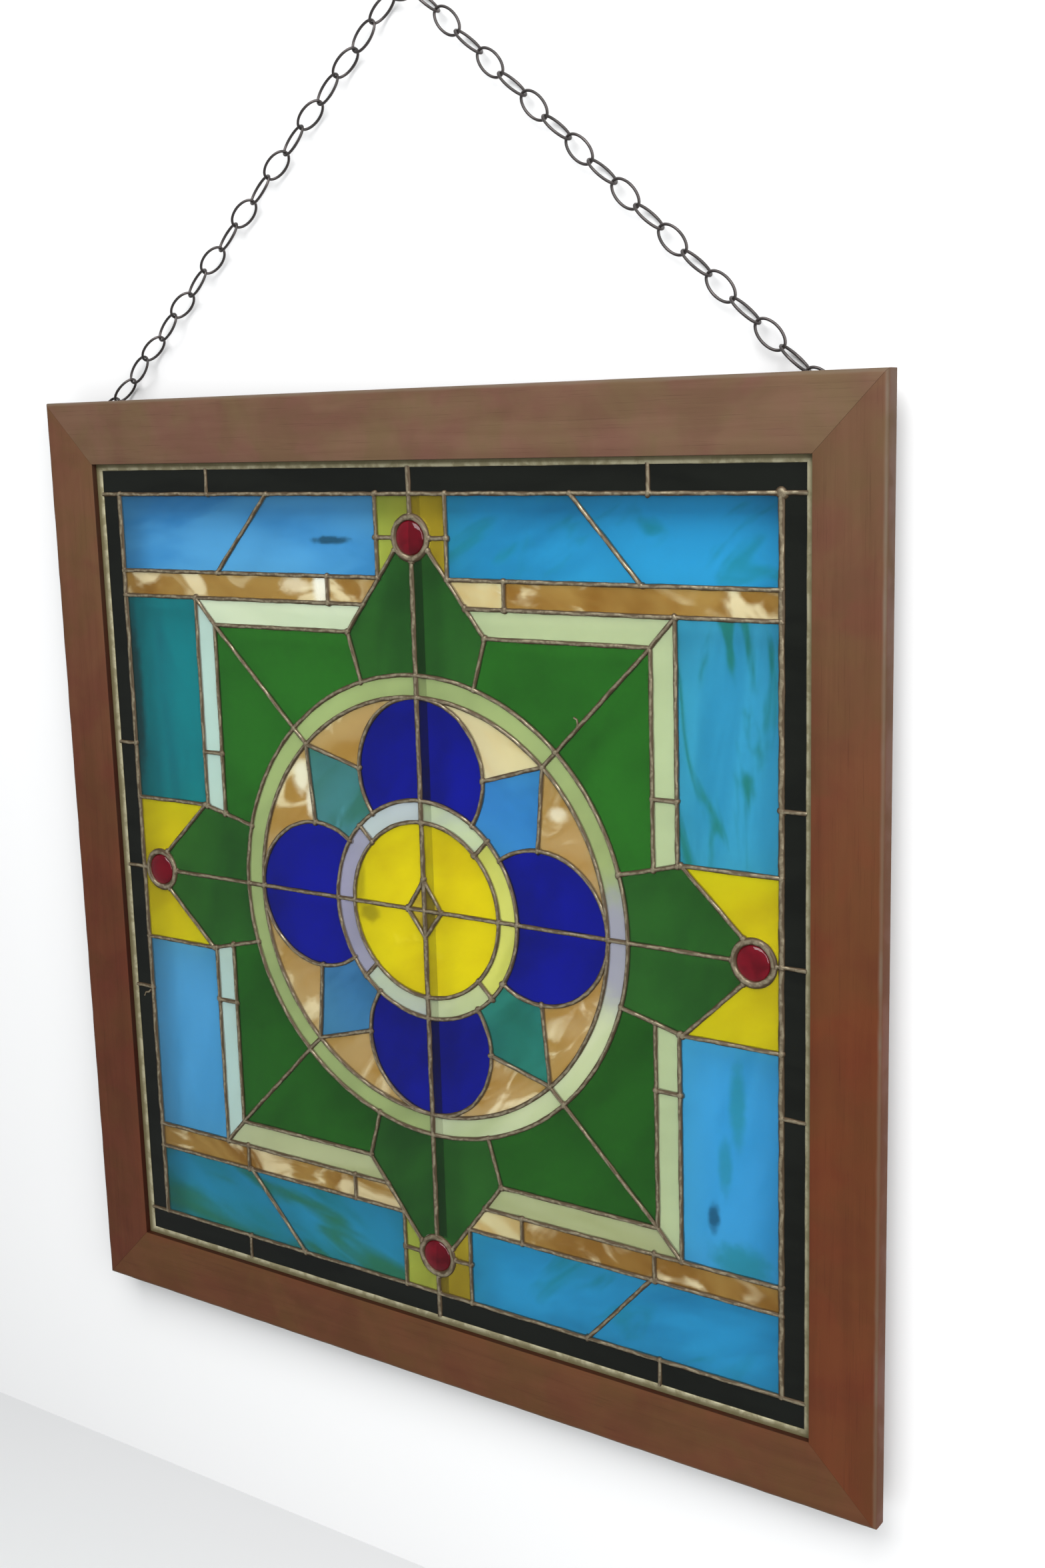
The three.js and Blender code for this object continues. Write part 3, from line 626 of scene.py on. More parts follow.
def make_patch():
    """A soft oval spot at one place on the panel."""
    graph, given, result = node_group(
        "soft_patch",
        [("Vector", "vector", None), ("Centre", "vector", (0, 0, 0)), ("Reach", "vector", (0.01, 1, 0.01)), ("Ragged", "float", 0.4)],
        [("Mask", "float")],
    )
    away = graph.vector("DIVIDE", graph.vector("SUBTRACT", given["Vector"], given["Centre"]), given["Reach"])
    distance = graph.vector("LENGTH", away, (0, 0, 0))
    uneven = graph.maths("SUBTRACT", graph.noise(given["Vector"], 110.0, 3.0, 0.6), 0.5)
    edge = graph.maths("ADD", distance, graph.maths("MULTIPLY", uneven, given["Ragged"]))
    graph.put(result["Mask"], graph.ramp(edge, 0.35, 1.0, 1.0, 0.0))
    return graph.tree


def make_grain():
    """Wood grain running along X of the vector it is given."""
    graph, given, result = node_group(
        "wood_grain",
        [("Vector", "vector", None)],
        [("Figure", "float"), ("Pores", "float"), ("Blotch", "float"), ("Cloud", "float"), ("Height", "float")],
    )
    figure = graph.noise(graph.vector("MULTIPLY", given["Vector"], (1.6, 26.0, 26.0)), 2.4, 5.0, 0.55, 0.9)
    fibres = graph.noise(graph.vector("MULTIPLY", given["Vector"], (9.0, 420.0, 420.0)), 1.6, 3.0, 0.6)
    blotch = graph.noise(given["Vector"], 17.0, 3.0, 0.55, 0.4)
    cloud = graph.noise(graph.vector("ADD", given["Vector"], (3.1, 7.7, 1.9)), 12.0, 3.0, 0.55, 0.6)
    pores = graph.ramp(fibres, 0.56, 0.74)
    graph.put(result["Figure"], graph.ramp(figure, 0.3, 0.72))
    graph.put(result["Pores"], pores)
    graph.put(result["Blotch"], graph.ramp(blotch, 0.36, 0.66))
    graph.put(result["Cloud"], graph.ramp(cloud, 0.38, 0.66))
    graph.put(result["Height"], graph.maths("SUBTRACT", graph.maths("MULTIPLY", figure, 0.3), graph.maths("MULTIPLY", pores, 0.5)))
    return graph.tree


def make_tarnish():
    """Uneven tarnish and fine pitting on metal."""
    graph, given, result = node_group(
        "metal_tarnish",
        [("Vector", "vector", None), ("Scale", "float", 120.0)],
        [("Mask", "float"), ("Pits", "float")],
    )
    broad = graph.noise(given["Vector"], given["Scale"], 4.0, 0.6, 0.3)
    pits = graph.noise(given["Vector"], graph.maths("MULTIPLY", given["Scale"], 7.0), 2.0, 0.6)
    graph.put(result["Mask"], graph.ramp(broad, 0.34, 0.66))
    graph.put(result["Pits"], pits)
    return graph.tree


GROUP_MAKERS = {
    "glass_streaks": make_streaks,
    "glass_ripple": make_ripple,
    "soft_patch": make_patch,
    "wood_grain": make_grain,
    "metal_tarnish": make_tarnish,
}


def shared(name):
    return bpy.data.node_groups.get(name) or GROUP_MAKERS[name]()


def blank_material(name):
    """A material with one Principled shader: (material, graph, shader)."""
    material = bpy.data.materials.new(name)
    material.use_nodes = True
    tree = material.node_tree
    tree.nodes.clear()
    graph = Graph(tree)
    shader = graph.new("BsdfPrincipled")
    output = graph.new("OutputMaterial")
    graph.put(output.inputs["Surface"], shader.outputs[0])
    return material, graph, shader


def scaled(colour, factor):
    return tuple(min(1.0, c * factor) for c in colour[:3])


def glass_material(name, body, streak=None, wisp=None, clear=0.86, turn=0.0, scale=20.0, stretch=4.0,
                   swirl=0.6, low=0.4, high=0.66, wisps=(0.62, 0.74), rough=0.1, patches=()):
    """Art glass: a body colour, broad streaks of a second one and wisps of a third."""
    material, graph, shader = blank_material(name)
    body = tuple(body[:3])
    place = graph.place()
    lines = graph.group(shared("glass_streaks"), Vector=place, Turn=turn, Scale=scale, Stretch=stretch, Swirl=swirl, Low=low, High=high)
    ripple = graph.group(shared("glass_ripple"), Vector=place)
    streak = scaled(body, 0.8) if streak is None else tuple(streak[:3])
    colour = graph.mix(lines.outputs["Mask"], body, streak)
    colour = graph.mix(graph.maths("MULTIPLY", lines.outputs["Fine"], 0.22), colour, scaled(body, 1.12))
    if wisp is not None:
        wide = graph.group(
            shared("glass_streaks"), Vector=place, Turn=turn + 0.25, Scale=scale * 1.3, Stretch=stretch * 0.8,
            Swirl=swirl * 1.6, Low=wisps[0], High=wisps[1],
        )
        colour = graph.mix(wide.outputs["Mask"], colour, tuple(wisp[:3]))
    # Most patches are spots of another glass colour; a few are painted shade, each marked where it is listed.
    for centre, reach, ragged, shade, strength in patches:
        spot = graph.group(
            shared("soft_patch"), Vector=place, Centre=(centre[0] * MM, GLASS_FRONT * MM, (CENTRE_Z + centre[1]) * MM),
            Reach=(reach[0] * MM, 1.0, reach[1] * MM), Ragged=ragged,
        )
        colour = graph.mix(graph.maths("MULTIPLY", spot.outputs["Mask"], strength), colour, tuple(shade[:3]))
    graph.put(shader.inputs["Base Color"], colour)
    graph.put(shader.inputs["Roughness"], graph.ramp(ripple.outputs["Dust"], 0.0, 1.0, rough, rough + 0.12))
    shader.inputs["Transmission Weight"].default_value = clear
    shader.inputs["IOR"].default_value = 1.5
    shader.inputs["Specular IOR Level"].default_value = 0.3
    bump = graph.new("Bump", {"Height": ripple.outputs["Height"], "Strength": 0.35, "Distance": 0.0008})
    graph.put(shader.inputs["Normal"], bump.outputs[0])
    return material


def wood_material(name, low, high, upright):
    """Stained wood under dull varnish: faint grain, soft mottles, and painted light: greyer and lighter towards the top
    of the frame as a painted sky reflection, a painted highlight along the arrises and painted shade on the inner face
    in front of the groove.
    """
    material, graph, shader = blank_material(name)
    place = graph.place()
    height = graph.new("SeparateXYZ", {"Vector": place}).outputs["Z"]
    if upright:
        place = graph.new("VectorRotate", {"Vector": place, "Angle": math.pi / 2}, rotation_type="Y_AXIS").outputs[0]
    grain = graph.group(shared("wood_grain"), Vector=place)
    # Painted reflection: the colour turns lighter and greyer towards the top of the frame.
    colour = graph.mix(graph.ramp(height, -1.05, -0.38), tuple(low[:3]), tuple(high[:3]))
    for output, strength, shade in (
        ("Blotch", 0.75, (0.84, 0.98, 0.74)),
        ("Cloud", 0.75, (0.92, 0.76, 0.88)),
        ("Figure", 0.5, (0.8, 0.74, 0.7)),
        ("Pores", 0.35, (0.62, 0.56, 0.52)),
    ):
        colour = graph.mix(graph.maths("MULTIPLY", grain.outputs[output], strength), colour, shade, "MULTIPLY")
    mark = graph.new("Attribute", attribute_name="mark").outputs["Fac"]
    # Painted highlight: a lighter grey-brown along the rounded arrises and the back corner, where the marks are
    # positive.
    painted_arris_highlight = graph.maths("MULTIPLY", mark, graph.ramp(grain.outputs["Cloud"], 0.0, 1.0, 0.45, 0.75), clamp=True)
    colour = graph.mix(painted_arris_highlight, colour, tint(104, 92, 76))
    # Painted shade: the rail's inner face in front of the groove, marked -1, is darkened as if in shadow.
    painted_recess_shade = graph.maths("MULTIPLY", mark, -1.0, clamp=True)
    colour = graph.mix(painted_recess_shade, colour, (0.34, 0.24, 0.2), "MULTIPLY")
    graph.put(shader.inputs["Base Color"], colour)
    graph.put(shader.inputs["Roughness"], graph.ramp(grain.outputs["Blotch"], 0.0, 1.0, 0.46, 0.62))
    shader.inputs["Specular IOR Level"].default_value = 0.25
    bump = graph.new("Bump", {"Height": grain.outputs["Height"], "Strength": 0.3, "Distance": 0.0005})
    graph.put(shader.inputs["Normal"], bump.outputs[0])
    return material


def metal_material(name, bright, dark, metallic, rough, scale, crested):
    """Metal that shows bright on the crests and dark where tarnish stays; on marked crests the bright colour is bare
    metal with a painted highlight.
    """
    material, graph, shader = blank_material(name)
    tarnish = graph.group(shared("metal_tarnish"), Vector=graph.place(), Scale=scale)
    if crested:
        # Painted highlight: the bright colour follows the crest marks, with real tarnish and patina beside it.
        crest = graph.new("Attribute", attribute_name="mark").outputs["Fac"]
        share = graph.maths("MULTIPLY", graph.ramp(crest, 0.45, 1.0), graph.ramp(tarnish.outputs["Mask"], 0.0, 1.0, 1.0, 0.25))
    else:
        share = graph.maths("SUBTRACT", 1.0, tarnish.outputs["Mask"])
    graph.put(shader.inputs["Base Color"], graph.mix(share, tuple(dark[:3]), tuple(bright[:3])))
    graph.put(shader.inputs["Metallic"], graph.ramp(share, 0.0, 1.0, metallic * 0.6, metallic))
    graph.put(shader.inputs["Roughness"], graph.ramp(share, 0.0, 1.0, rough + 0.15, rough))
    bump = graph.new("Bump", {"Height": tarnish.outputs["Pits"], "Strength": 0.3, "Distance": 0.0004})
    graph.put(shader.inputs["Normal"], bump.outputs[0])
    return material


def matte_material(name, colour):
    """Plain pale paper for floor and backdrop."""
    material, graph, shader = blank_material(name)
    cloud = graph.noise(graph.place(), 3.0, 3.0)
    graph.put(shader.inputs["Base Color"], graph.mix(cloud, tuple(colour[:3]), scaled(colour, 0.98)))
    shader.inputs["Roughness"].default_value = 0.9
    shader.inputs["Specular IOR Level"].default_value = 0.1
    return material, graph, shader


TONES = {}


def tone(name, *args, **settings):
    """The glass of that name, made the first time it is asked for."""
    if name not in TONES:
        TONES[name] = glass_material(name, *args, **settings)
    return TONES[name]


# ---------- glass pieces ----------
def glass_tones():
    """Which glass each pane is cut from, by part, pane and quarter; the first rule that fits counts."""
    g = bpy.context.scene.window_glass
    black = tone("black_art_glass", g.black, scaled(g.black, 0.7), clear=0.0, rough=0.16)
    sky = tone("sky_blue_glass", g.sky, tint(62, 140, 190), tint(36, 120, 160), turn=0.1, scale=14, wisps=(0.62, 0.8), patches=[
        ((-110, 402), (36, 6), 1.0, tint(22, 62, 74), 0.8),
    ])
    sky_right = tone("streaky_blue_glass", tint(45, 151, 194), tint(36, 134, 176), tint(30, 136, 150), turn=0.3, scale=14, stretch=3, wisps=(0.55, 0.72))
    teal = tone("teal_art_glass", g.teal, tint(22, 112, 122), tint(40, 146, 156), turn=1.5, scale=12, patches=[
        # Painted shadow: a dark band along the panel's left edge stands for the frame's shadow on the wall behind, seen
        # through the glass.
        ((-428, 210), (17, 150), 0.5, tint(40, 70, 72), 0.85),
    ])
    sea = tone("sea_blue_glass", tint(60, 154, 186), tint(48, 140, 174), tint(36, 128, 122), turn=1.4, scale=19, stretch=6, swirl=0.8, wisps=(0.53, 0.68))
    azure = tone("azure_glass", tint(88, 163, 204), tint(74, 152, 194), turn=1.5, scale=10)
    drift = tone("drift_blue_glass", tint(66, 158, 204), tint(52, 146, 192), turn=1.2, scale=10, patches=[
        ((357, -275), (9, 22), 0.9, tint(16, 70, 96), 0.8),
        ((384, -150), (12, 62), 0.6, tint(40, 140, 150), 0.7),
        ((370, -218), (11, 40), 0.6, tint(40, 138, 152), 0.65),
        ((388, -318), (46, 26), 0.7, tint(36, 136, 146), 0.75),
    ])
    swirl = tone("swirled_blue_glass", tint(42, 142, 178), tint(30, 126, 128), tint(46, 122, 96), turn=-0.5, scale=11, stretch=4, wisps=(0.5, 0.66))
    amber_looks = {"clear": 0.72, "turn": -0.5, "scale": 15, "stretch": 2.2, "swirl": 0.8, "wisps": (0.5, 0.66)}
    amber = tone("amber_art_glass", g.amber, tint(144, 102, 38), tint(222, 206, 164), **amber_looks)
    amber_white = tone("white_tailed_amber_glass", g.amber, tint(144, 102, 38), tint(222, 206, 164), **amber_looks, patches=[
        ((-128, 350), (15, 32), 0.2, tint(240, 236, 218), 1.0),
        ((-165, 352), (28, 14), 0.9, tint(232, 220, 188), 0.7),
    ])
    cream = tone("cream_glass", g.cream, tint(200, 172, 112), tint(236, 232, 212), clear=0.7, turn=-0.7, scale=18, stretch=2.4, swirl=0.9)
    pale = tone("pale_green_glass", g.pale, scaled(g.pale, 0.9), clear=0.72, turn=0.0, scale=12)
    pale_left = tone("milky_green_glass", tint(212, 222, 196), tint(200, 212, 184), clear=0.72, turn=0.0, scale=12)
    pale_low = tone("pale_olive_glass", tint(184, 190, 150), tint(170, 176, 130), clear=0.72, scale=12)
    aqua = tone("pale_aqua_glass", g.aqua, scaled(g.aqua, 0.9), clear=0.72, turn=1.5, scale=12)
    green = tone("bottle_green_glass", g.green, scaled(g.green, 0.75), turn=0.6, scale=9, stretch=2)
    green_low = tone("low_field_glass", scaled(g.green, 0.78), scaled(g.green, 0.6), turn=0.6, scale=9, stretch=2)
    star = tone("star_green_glass", tint(46, 104, 38), tint(36, 86, 32), turn=1.3, scale=9, stretch=2)
    yellow = tone("yellow_art_glass", g.yellow, tint(204, 188, 4), tint(222, 212, 40), clear=0.72, turn=0.4, scale=16, stretch=2, patches=[
        # Painted shade: darker olive near the left rim of the centre disc.
        ((-92, 30), (12, 60), 0.5, tint(150, 140, 12), 0.55),
        ((-78, -12), (18, 15), 0.7, tint(128, 118, 16), 0.6),
    ])
    yellow_side = tone("side_yellow_glass", tint(202, 190, 8), tint(188, 172, 6), clear=0.72, turn=0.2, scale=10, stretch=2)
    lime = tone("lime_glass", tint(184, 188, 80), tint(166, 174, 66), turn=1.5, scale=16)
    gold = tone("gold_glass", tint(188, 168, 42), tint(170, 148, 34), turn=1.5, scale=16)
    olive = tone("olive_glass", tint(190, 172, 50), tint(172, 152, 44), turn=0.4, scale=30)
    ring_spots = [
        ((250, -10), (58, 92), 0.4, tint(168, 168, 180), 0.95),
    ]
    ring = tone("ring_green_glass", g.ring, scaled(g.ring, 0.88), clear=0.72, turn=0.8, scale=14, patches=ring_spots)
    ring_light = tone("light_ring_glass", tint(204, 213, 178), tint(188, 200, 154), clear=0.72, turn=0.8, scale=14, patches=ring_spots)
    violet = tone("violet_grey_glass", g.violet, scaled(g.violet, 0.88), clear=0.72, turn=0.8, scale=14)
    mist = tone("mist_glass", tint(190, 201, 200), tint(176, 186, 196), clear=0.72, turn=0.3, scale=16)
    fern = tone("fern_mist_glass", tint(198, 212, 172), tint(182, 190, 186), clear=0.72, turn=0.3, scale=16)
    lichen = tone("pale_lime_glass", tint(208, 212, 118), tint(192, 196, 100), clear=0.72, turn=1.0, scale=16)
    cobalt = tone("cobalt_art_glass", g.cobalt, scaled(g.cobalt, 0.7), clear=0.92, turn=0.9, scale=10, stretch=2)
    kite_teal = tone("kite_teal_glass", tint(74, 138, 140), tint(60, 122, 104), tint(84, 150, 156), turn=0.9, scale=18, stretch=2.5)
    kite_blue = tone("kite_blue_glass", tint(60, 140, 198), tint(48, 124, 180), tint(84, 160, 206), turn=-0.7, scale=18, stretch=2.5)
    kite_slate = tone("kite_slate_glass", tint(70, 134, 176), tint(56, 118, 158), turn=0.7, scale=18, stretch=2.5)
    kite_sea = tone("kite_sea_glass", tint(50, 140, 130), tint(38, 120, 106), turn=0.6, scale=16, stretch=2.5)
    peach = tone("peach_glass", tint(186, 158, 104), tint(172, 136, 66), tint(226, 212, 172), clear=0.72, turn=0.6, scale=17, stretch=2.2, swirl=1.0, wisps=(0.51, 0.68), patches=[
        ((-170, 135), (17, 27), 0.5, tint(238, 234, 212), 0.95),
        ((-158, 108), (9, 25), 0.5, tint(238, 234, 212), 0.9),
        ((178, 125), (17, 11), 0.6, tint(232, 224, 194), 0.9),
    ])
    return [
        ("border_", "", "", black),
        ("blue_strip_", "", "upper_left", sky),
        ("blue_strip_", "", "upper_right", sky_right),
        ("blue_strip_", "outer", "lower_left", swirl),
        ("blue_strip_", "inner", "lower_left", swirl),
        ("blue_strip_", "", "lower_right", sky_right),
        ("blue_panel_", "", "upper_left", teal),
        ("blue_panel_", "", "upper_right", sea),
        ("blue_panel_", "", "lower_left", azure),
        ("blue_panel_", "", "lower_right", drift),
        ("amber_strip_", "1", "upper_left", amber_white),
        ("amber_strip_", "0", "right", cream),
        ("amber_strip_", "", "", amber),
        ("pale_corner_", "upright", "left", aqua),
        ("pale_corner_", "foot", "left", aqua),
        ("pale_corner_", "level", "lower", pale_low),
        ("pale_corner_", "level", "upper_left", pale_left),
        ("pale_corner_", "", "", pale),
        ("green_field_", "", "lower", green_low),
        ("green_field_", "", "", green),
        ("star_", "", "", star),
        ("yellow_side", "", "", yellow_side),
        ("yellow_", "", "left", lime),
        ("yellow_", "", "right", gold),
        ("centre_disc", "diamond", "", olive),
        ("centre_disc", "", "", yellow),
        ("outer_ring", "", "lower_right", ring_light),
        ("outer_ring", "", "", ring),
        ("inner_ring", "low", "left", violet),
        ("inner_ring", "high", "upper_left", mist),
        ("inner_ring", "high", "upper_right", fern),
        ("inner_ring", "high", "lower_left", fern),
        ("inner_ring", "low", "right", lichen),
        ("inner_ring", "", "", ring_light),
        ("petal_", "", "", cobalt),
        ("spandrel_", "kite", "upper_left", kite_teal),
        ("spandrel_", "kite", "upper_right", kite_blue),
        ("spandrel_", "kite", "lower_left", kite_slate),
        ("spandrel_", "kite", "lower_right", kite_sea),
        ("spandrel_", "high", "upper_right", cream),
        ("spandrel_", "", "", peach),
    ]


def make_glass(prefixes):
    """Makes the glass of every part whose name starts with one of the prefixes."""
    rules = glass_tones()
    parts = {}
    for part, pane, quarter, outline in all_panes():
        if part.startswith(prefixes):
            parts.setdefault(part, []).append((pane, quarter, outline))
    for part, panes in parts.items():
        shell, materials = Shell(), []
        for pane, quarter, outline in panes:
            material = next(
                m for start, which, where, m in rules
                if part.startswith(start) and which in ("", pane) and where in quarter
            )
            if material not in materials:
                materials.append(material)
            ring = shrunk(outline, 0.45)
            faces = [[(x, GLASS_FRONT, z) for x, z in ring], [(x, GLASS_BACK, z) for x, z in ring]]
            shell.loft(faces, slot=materials.index(material))
        piece = make_piece(part + "_glass", shell, materials, [part], smooth=20, lift=CENTRE_Z)
        if not part.startswith("border_"):
            piece.visible_shadow = False


class WINDOW_OT_border(Operator):
    """Black glass round the edge of the panel"""

    bl_idname = "window.border"
    bl_label = "Black border"

    def execute(self, context):
        make_glass(("border_",))
        return {"FINISHED"}


class WINDOW_OT_blue(Operator):
    """Blue and teal strips and side panels"""

    bl_idname = "window.blue"
    bl_label = "Blue glass"

    def execute(self, context):
        make_glass(("blue_",))
        return {"FINISHED"}


class WINDOW_OT_square(Operator):
    """Amber strips and the pale square"""

    bl_idname = "window.square"
    bl_label = "Amber strips and pale square"

    def execute(self, context):
        make_glass(("amber_", "pale_"))
        return {"FINISHED"}


class WINDOW_OT_star(Operator):
    """Green field, star points and the yellow panes beside them"""

    bl_idname = "window.star"
    bl_label = "Green star and field"

    def execute(self, context):
        make_glass(("green_", "star_", "yellow_"))
        return {"FINISHED"}


class WINDOW_OT_flower(Operator):
    """Rings, petals, spandrels and the yellow centre"""

    bl_idname = "window.flower"
    bl_label = "Rings and flower"

    def execute(self, context):
        make_glass(("outer_ring", "inner_ring", "petal_", "spandrel_", "centre_disc"))
        return {"FINISHED"}


class WINDOW_OT_jewels(Operator):
    """Four domed ruby jewels"""

    bl_idname = "window.jewels"
    bl_label = "Ruby jewels"

    def execute(self, context):
        sizes, glass = context.scene.window_sizes, context.scene.window_glass
        ruby = tone("ruby_art_glass", glass.ruby, scaled(glass.ruby, 0.6), clear=0.7, turn=0.5, scale=60, stretch=1.5, rough=0.03)
        bulge = sizes.jewel_bulge / MM
        places = {"top": (0, JEWEL_AT_Z), "bottom": (0, -JEWEL_AT_Z), "left": (-JEWEL_AT_X, 0), "right": (JEWEL_AT_X, 0)}
        for where, (x, z) in places.items():
            shell = Shell()
            profile = [(JEWEL_R - 0.6, GLASS_BACK), (JEWEL_R, GLASS_BACK - 0.6), (JEWEL_R, GLASS_FRONT)]
            for i in range(1, 9):
                a = math.radians(10 * i + 5)
                profile.append((JEWEL_R * math.cos(a), GLASS_FRONT - bulge * math.sin(a)))
            sides = 40
            rings = [
                [(x + r * math.cos(math.tau * k / sides), y, z + r * math.sin(math.tau * k / sides)) for k in range(sides)]
                for r, y in profile
            ]
            shell.loft(rings)
            piece = make_piece(f"jewel_{where}_dome", shell, [ruby], [f"jewel_{where}"], smooth=40, lift=CENTRE_Z)
            piece.visible_shadow = False
        return {"FINISHED"}


class WINDOW_OT_solder(Operator):
    """Solder beads on both faces, collars round the jewels and the metal channel"""

    bl_idname = "window.solder"
    bl_label = "Solder lines"

    def execute(self, context):
        sizes, finish = context.scene.window_sizes, context.scene.window_finish
        shell = Shell()
        runs = seam_paths(sizes.seam / MM, sizes.spine / MM)
        sides = [(GLASS_FRONT, -1, sizes.bead / MM), (GLASS_BACK, 1, sizes.back_bead / MM)]
        for side, (base, toward, height) in enumerate(sides):
            for number, (path, width, closed) in enumerate(runs):
                bead(shell, path, width, height, base, toward, 900 * side + 3 * number, closed)
            for number, (x, z) in enumerate(seam_joints(runs)):
                draw = random.Random(5000 + number + 400 * side)
                size = draw.uniform(3.3, 4.7)
                if (x, z) == (BORDER_X, BORDER_Z):
                    size = 6.4
                blob(shell, x, z, size, height * draw.uniform(1.1, 1.3) if toward < 0 else height, base, toward, 7000 + number)
            for number, (x, z) in enumerate([(0, JEWEL_AT_Z), (0, -JEWEL_AT_Z), (-JEWEL_AT_X, 0), (JEWEL_AT_X, 0)]):
                collar = arc((x, z), (JEWEL_R + COLLAR_R) / 2, 0, 360, 2.5)[:-1]
                bead(shell, collar, COLLAR_R - JEWEL_R + 0.8, height * 1.5 if toward < 0 else height, base, toward, 8000 + 3 * number, True)
        drip = [(200, 212), (203.5, 216), (205.5, 221), (204.5, 226), (200.5, 228)]
        bead(shell, drip, 3.4, 1.8, GLASS_FRONT, -1, 61, ends=(1.0, 0.7))
        bead(shell, [(-436, -158), (-440, -162), (-446, -163), (-449, -168)], 3.0, 1.6, GLASS_FRONT, -1, 62, ends=(1.1, 0.6))
        self.channel(shell)
        solder = metal_material("solder_metal", finish.tin, finish.patina, 0.75, 0.34, 120.0, True)
        # Painted highlight: the channel's bright colour goes on its lip, where the shine marks are high.
        came = metal_material("channel_metal", tint(176, 170, 140), finish.came, 0.4, 0.5, 70.0, True)
        make_piece("solder_network", shell, [solder, came], ["solder_lines"], smooth=60, lift=CENTRE_Z)
        return {"FINISHED"}

    def channel(self, shell):
        """The channel that holds the panel's edge in the frame's groove."""
        front, back = PANEL_FRONT, PANEL_BACK
        edge = PANEL_HALF_X - GLASS_HALF_X
        lip = [(-1.6, GLASS_FRONT + 0.2), (-1.3, GLASS_FRONT - 0.7), (0.2, front + 0.2), (3, front), (edge - 1, front)]
        section = lip + [(edge, front + 0.6), (edge, back - 0.6), (edge - 1, back)]
        section += [(3, back), (0.2, back - 0.2), (-1.3, GLASS_BACK + 0.6), (-1.6, GLASS_BACK - 0.2)]
        # Painted highlight: the lip beside the glass is marked bright, and the side and back of the channel stay dull.
        shine = [0.5, 1.0, 0.95, 0.62, 0.3, 0.3, 0.3, 0.3, 0.62, 0.9, 0.9, 0.5]
        corners = [(-1, -1), (1, -1), (1, 1), (-1, 1)]
        rings, uneven, run = [], wobble(77), 0.0
        for i, (ax, az) in enumerate(corners):
            bx, bz = corners[(i + 1) % 4]
            count = 60
            for k in range(count):
                t = k / count
                waver = 0.25 * uneven(run) if 0 < k else 0.0
                ring = []
                for out, y in section:
                    hx, hz = GLASS_HALF_X + out, GLASS_HALF_Z + (out if out > 0 else out)
                    hz = min(hz, PANEL_HALF_Z)
                    shift = waver if out < 1 else 0.0
                    x, z = hx * (ax + (bx - ax) * t), hz * (az + (bz - az) * t)
                    x += shift * (ax if ax == bx else 0)
                    z += shift * (az if az == bz else 0)
                    ring.append((x, y, z))
                rings.append(ring)
                run += 2 * GLASS_HALF_X / count
        shell.loft(rings, closed=True, slot=1, marks=shine * len(rings))


# ---------- frame ----------
def cut_away(piece, low, high):
    """Cuts a box out of a piece, given by its corners in millimetres."""
    block = bmesh.new()
    bmesh.ops.create_cube(block, size=1)
    for vertex in block.verts:
        vertex.co = Vector([
            (low[i] if vertex.co[i] < 0 else high[i]) * MM for i in range(3)
        ])
    mesh = bpy.data.meshes.new("slot_cutter")
    block.to_mesh(mesh)
    block.free()
    cutter = bpy.data.objects.new("slot_cutter", mesh)
    bpy.context.scene.collection.objects.link(cutter)
    modifier = piece.modifiers.new("slot", "BOOLEAN")
    modifier.object, modifier.operation, modifier.solver = cutter, "DIFFERENCE", "EXACT"
    bpy.context.view_layer.update()
    graph = bpy.context.evaluated_depsgraph_get()
    result = bpy.data.meshes.new_from_object(piece.evaluated_get(graph), depsgraph=graph)
    piece.modifiers.clear()
    piece.data = result
    bpy.data.objects.remove(cutter)
    bpy.data.meshes.remove(mesh)


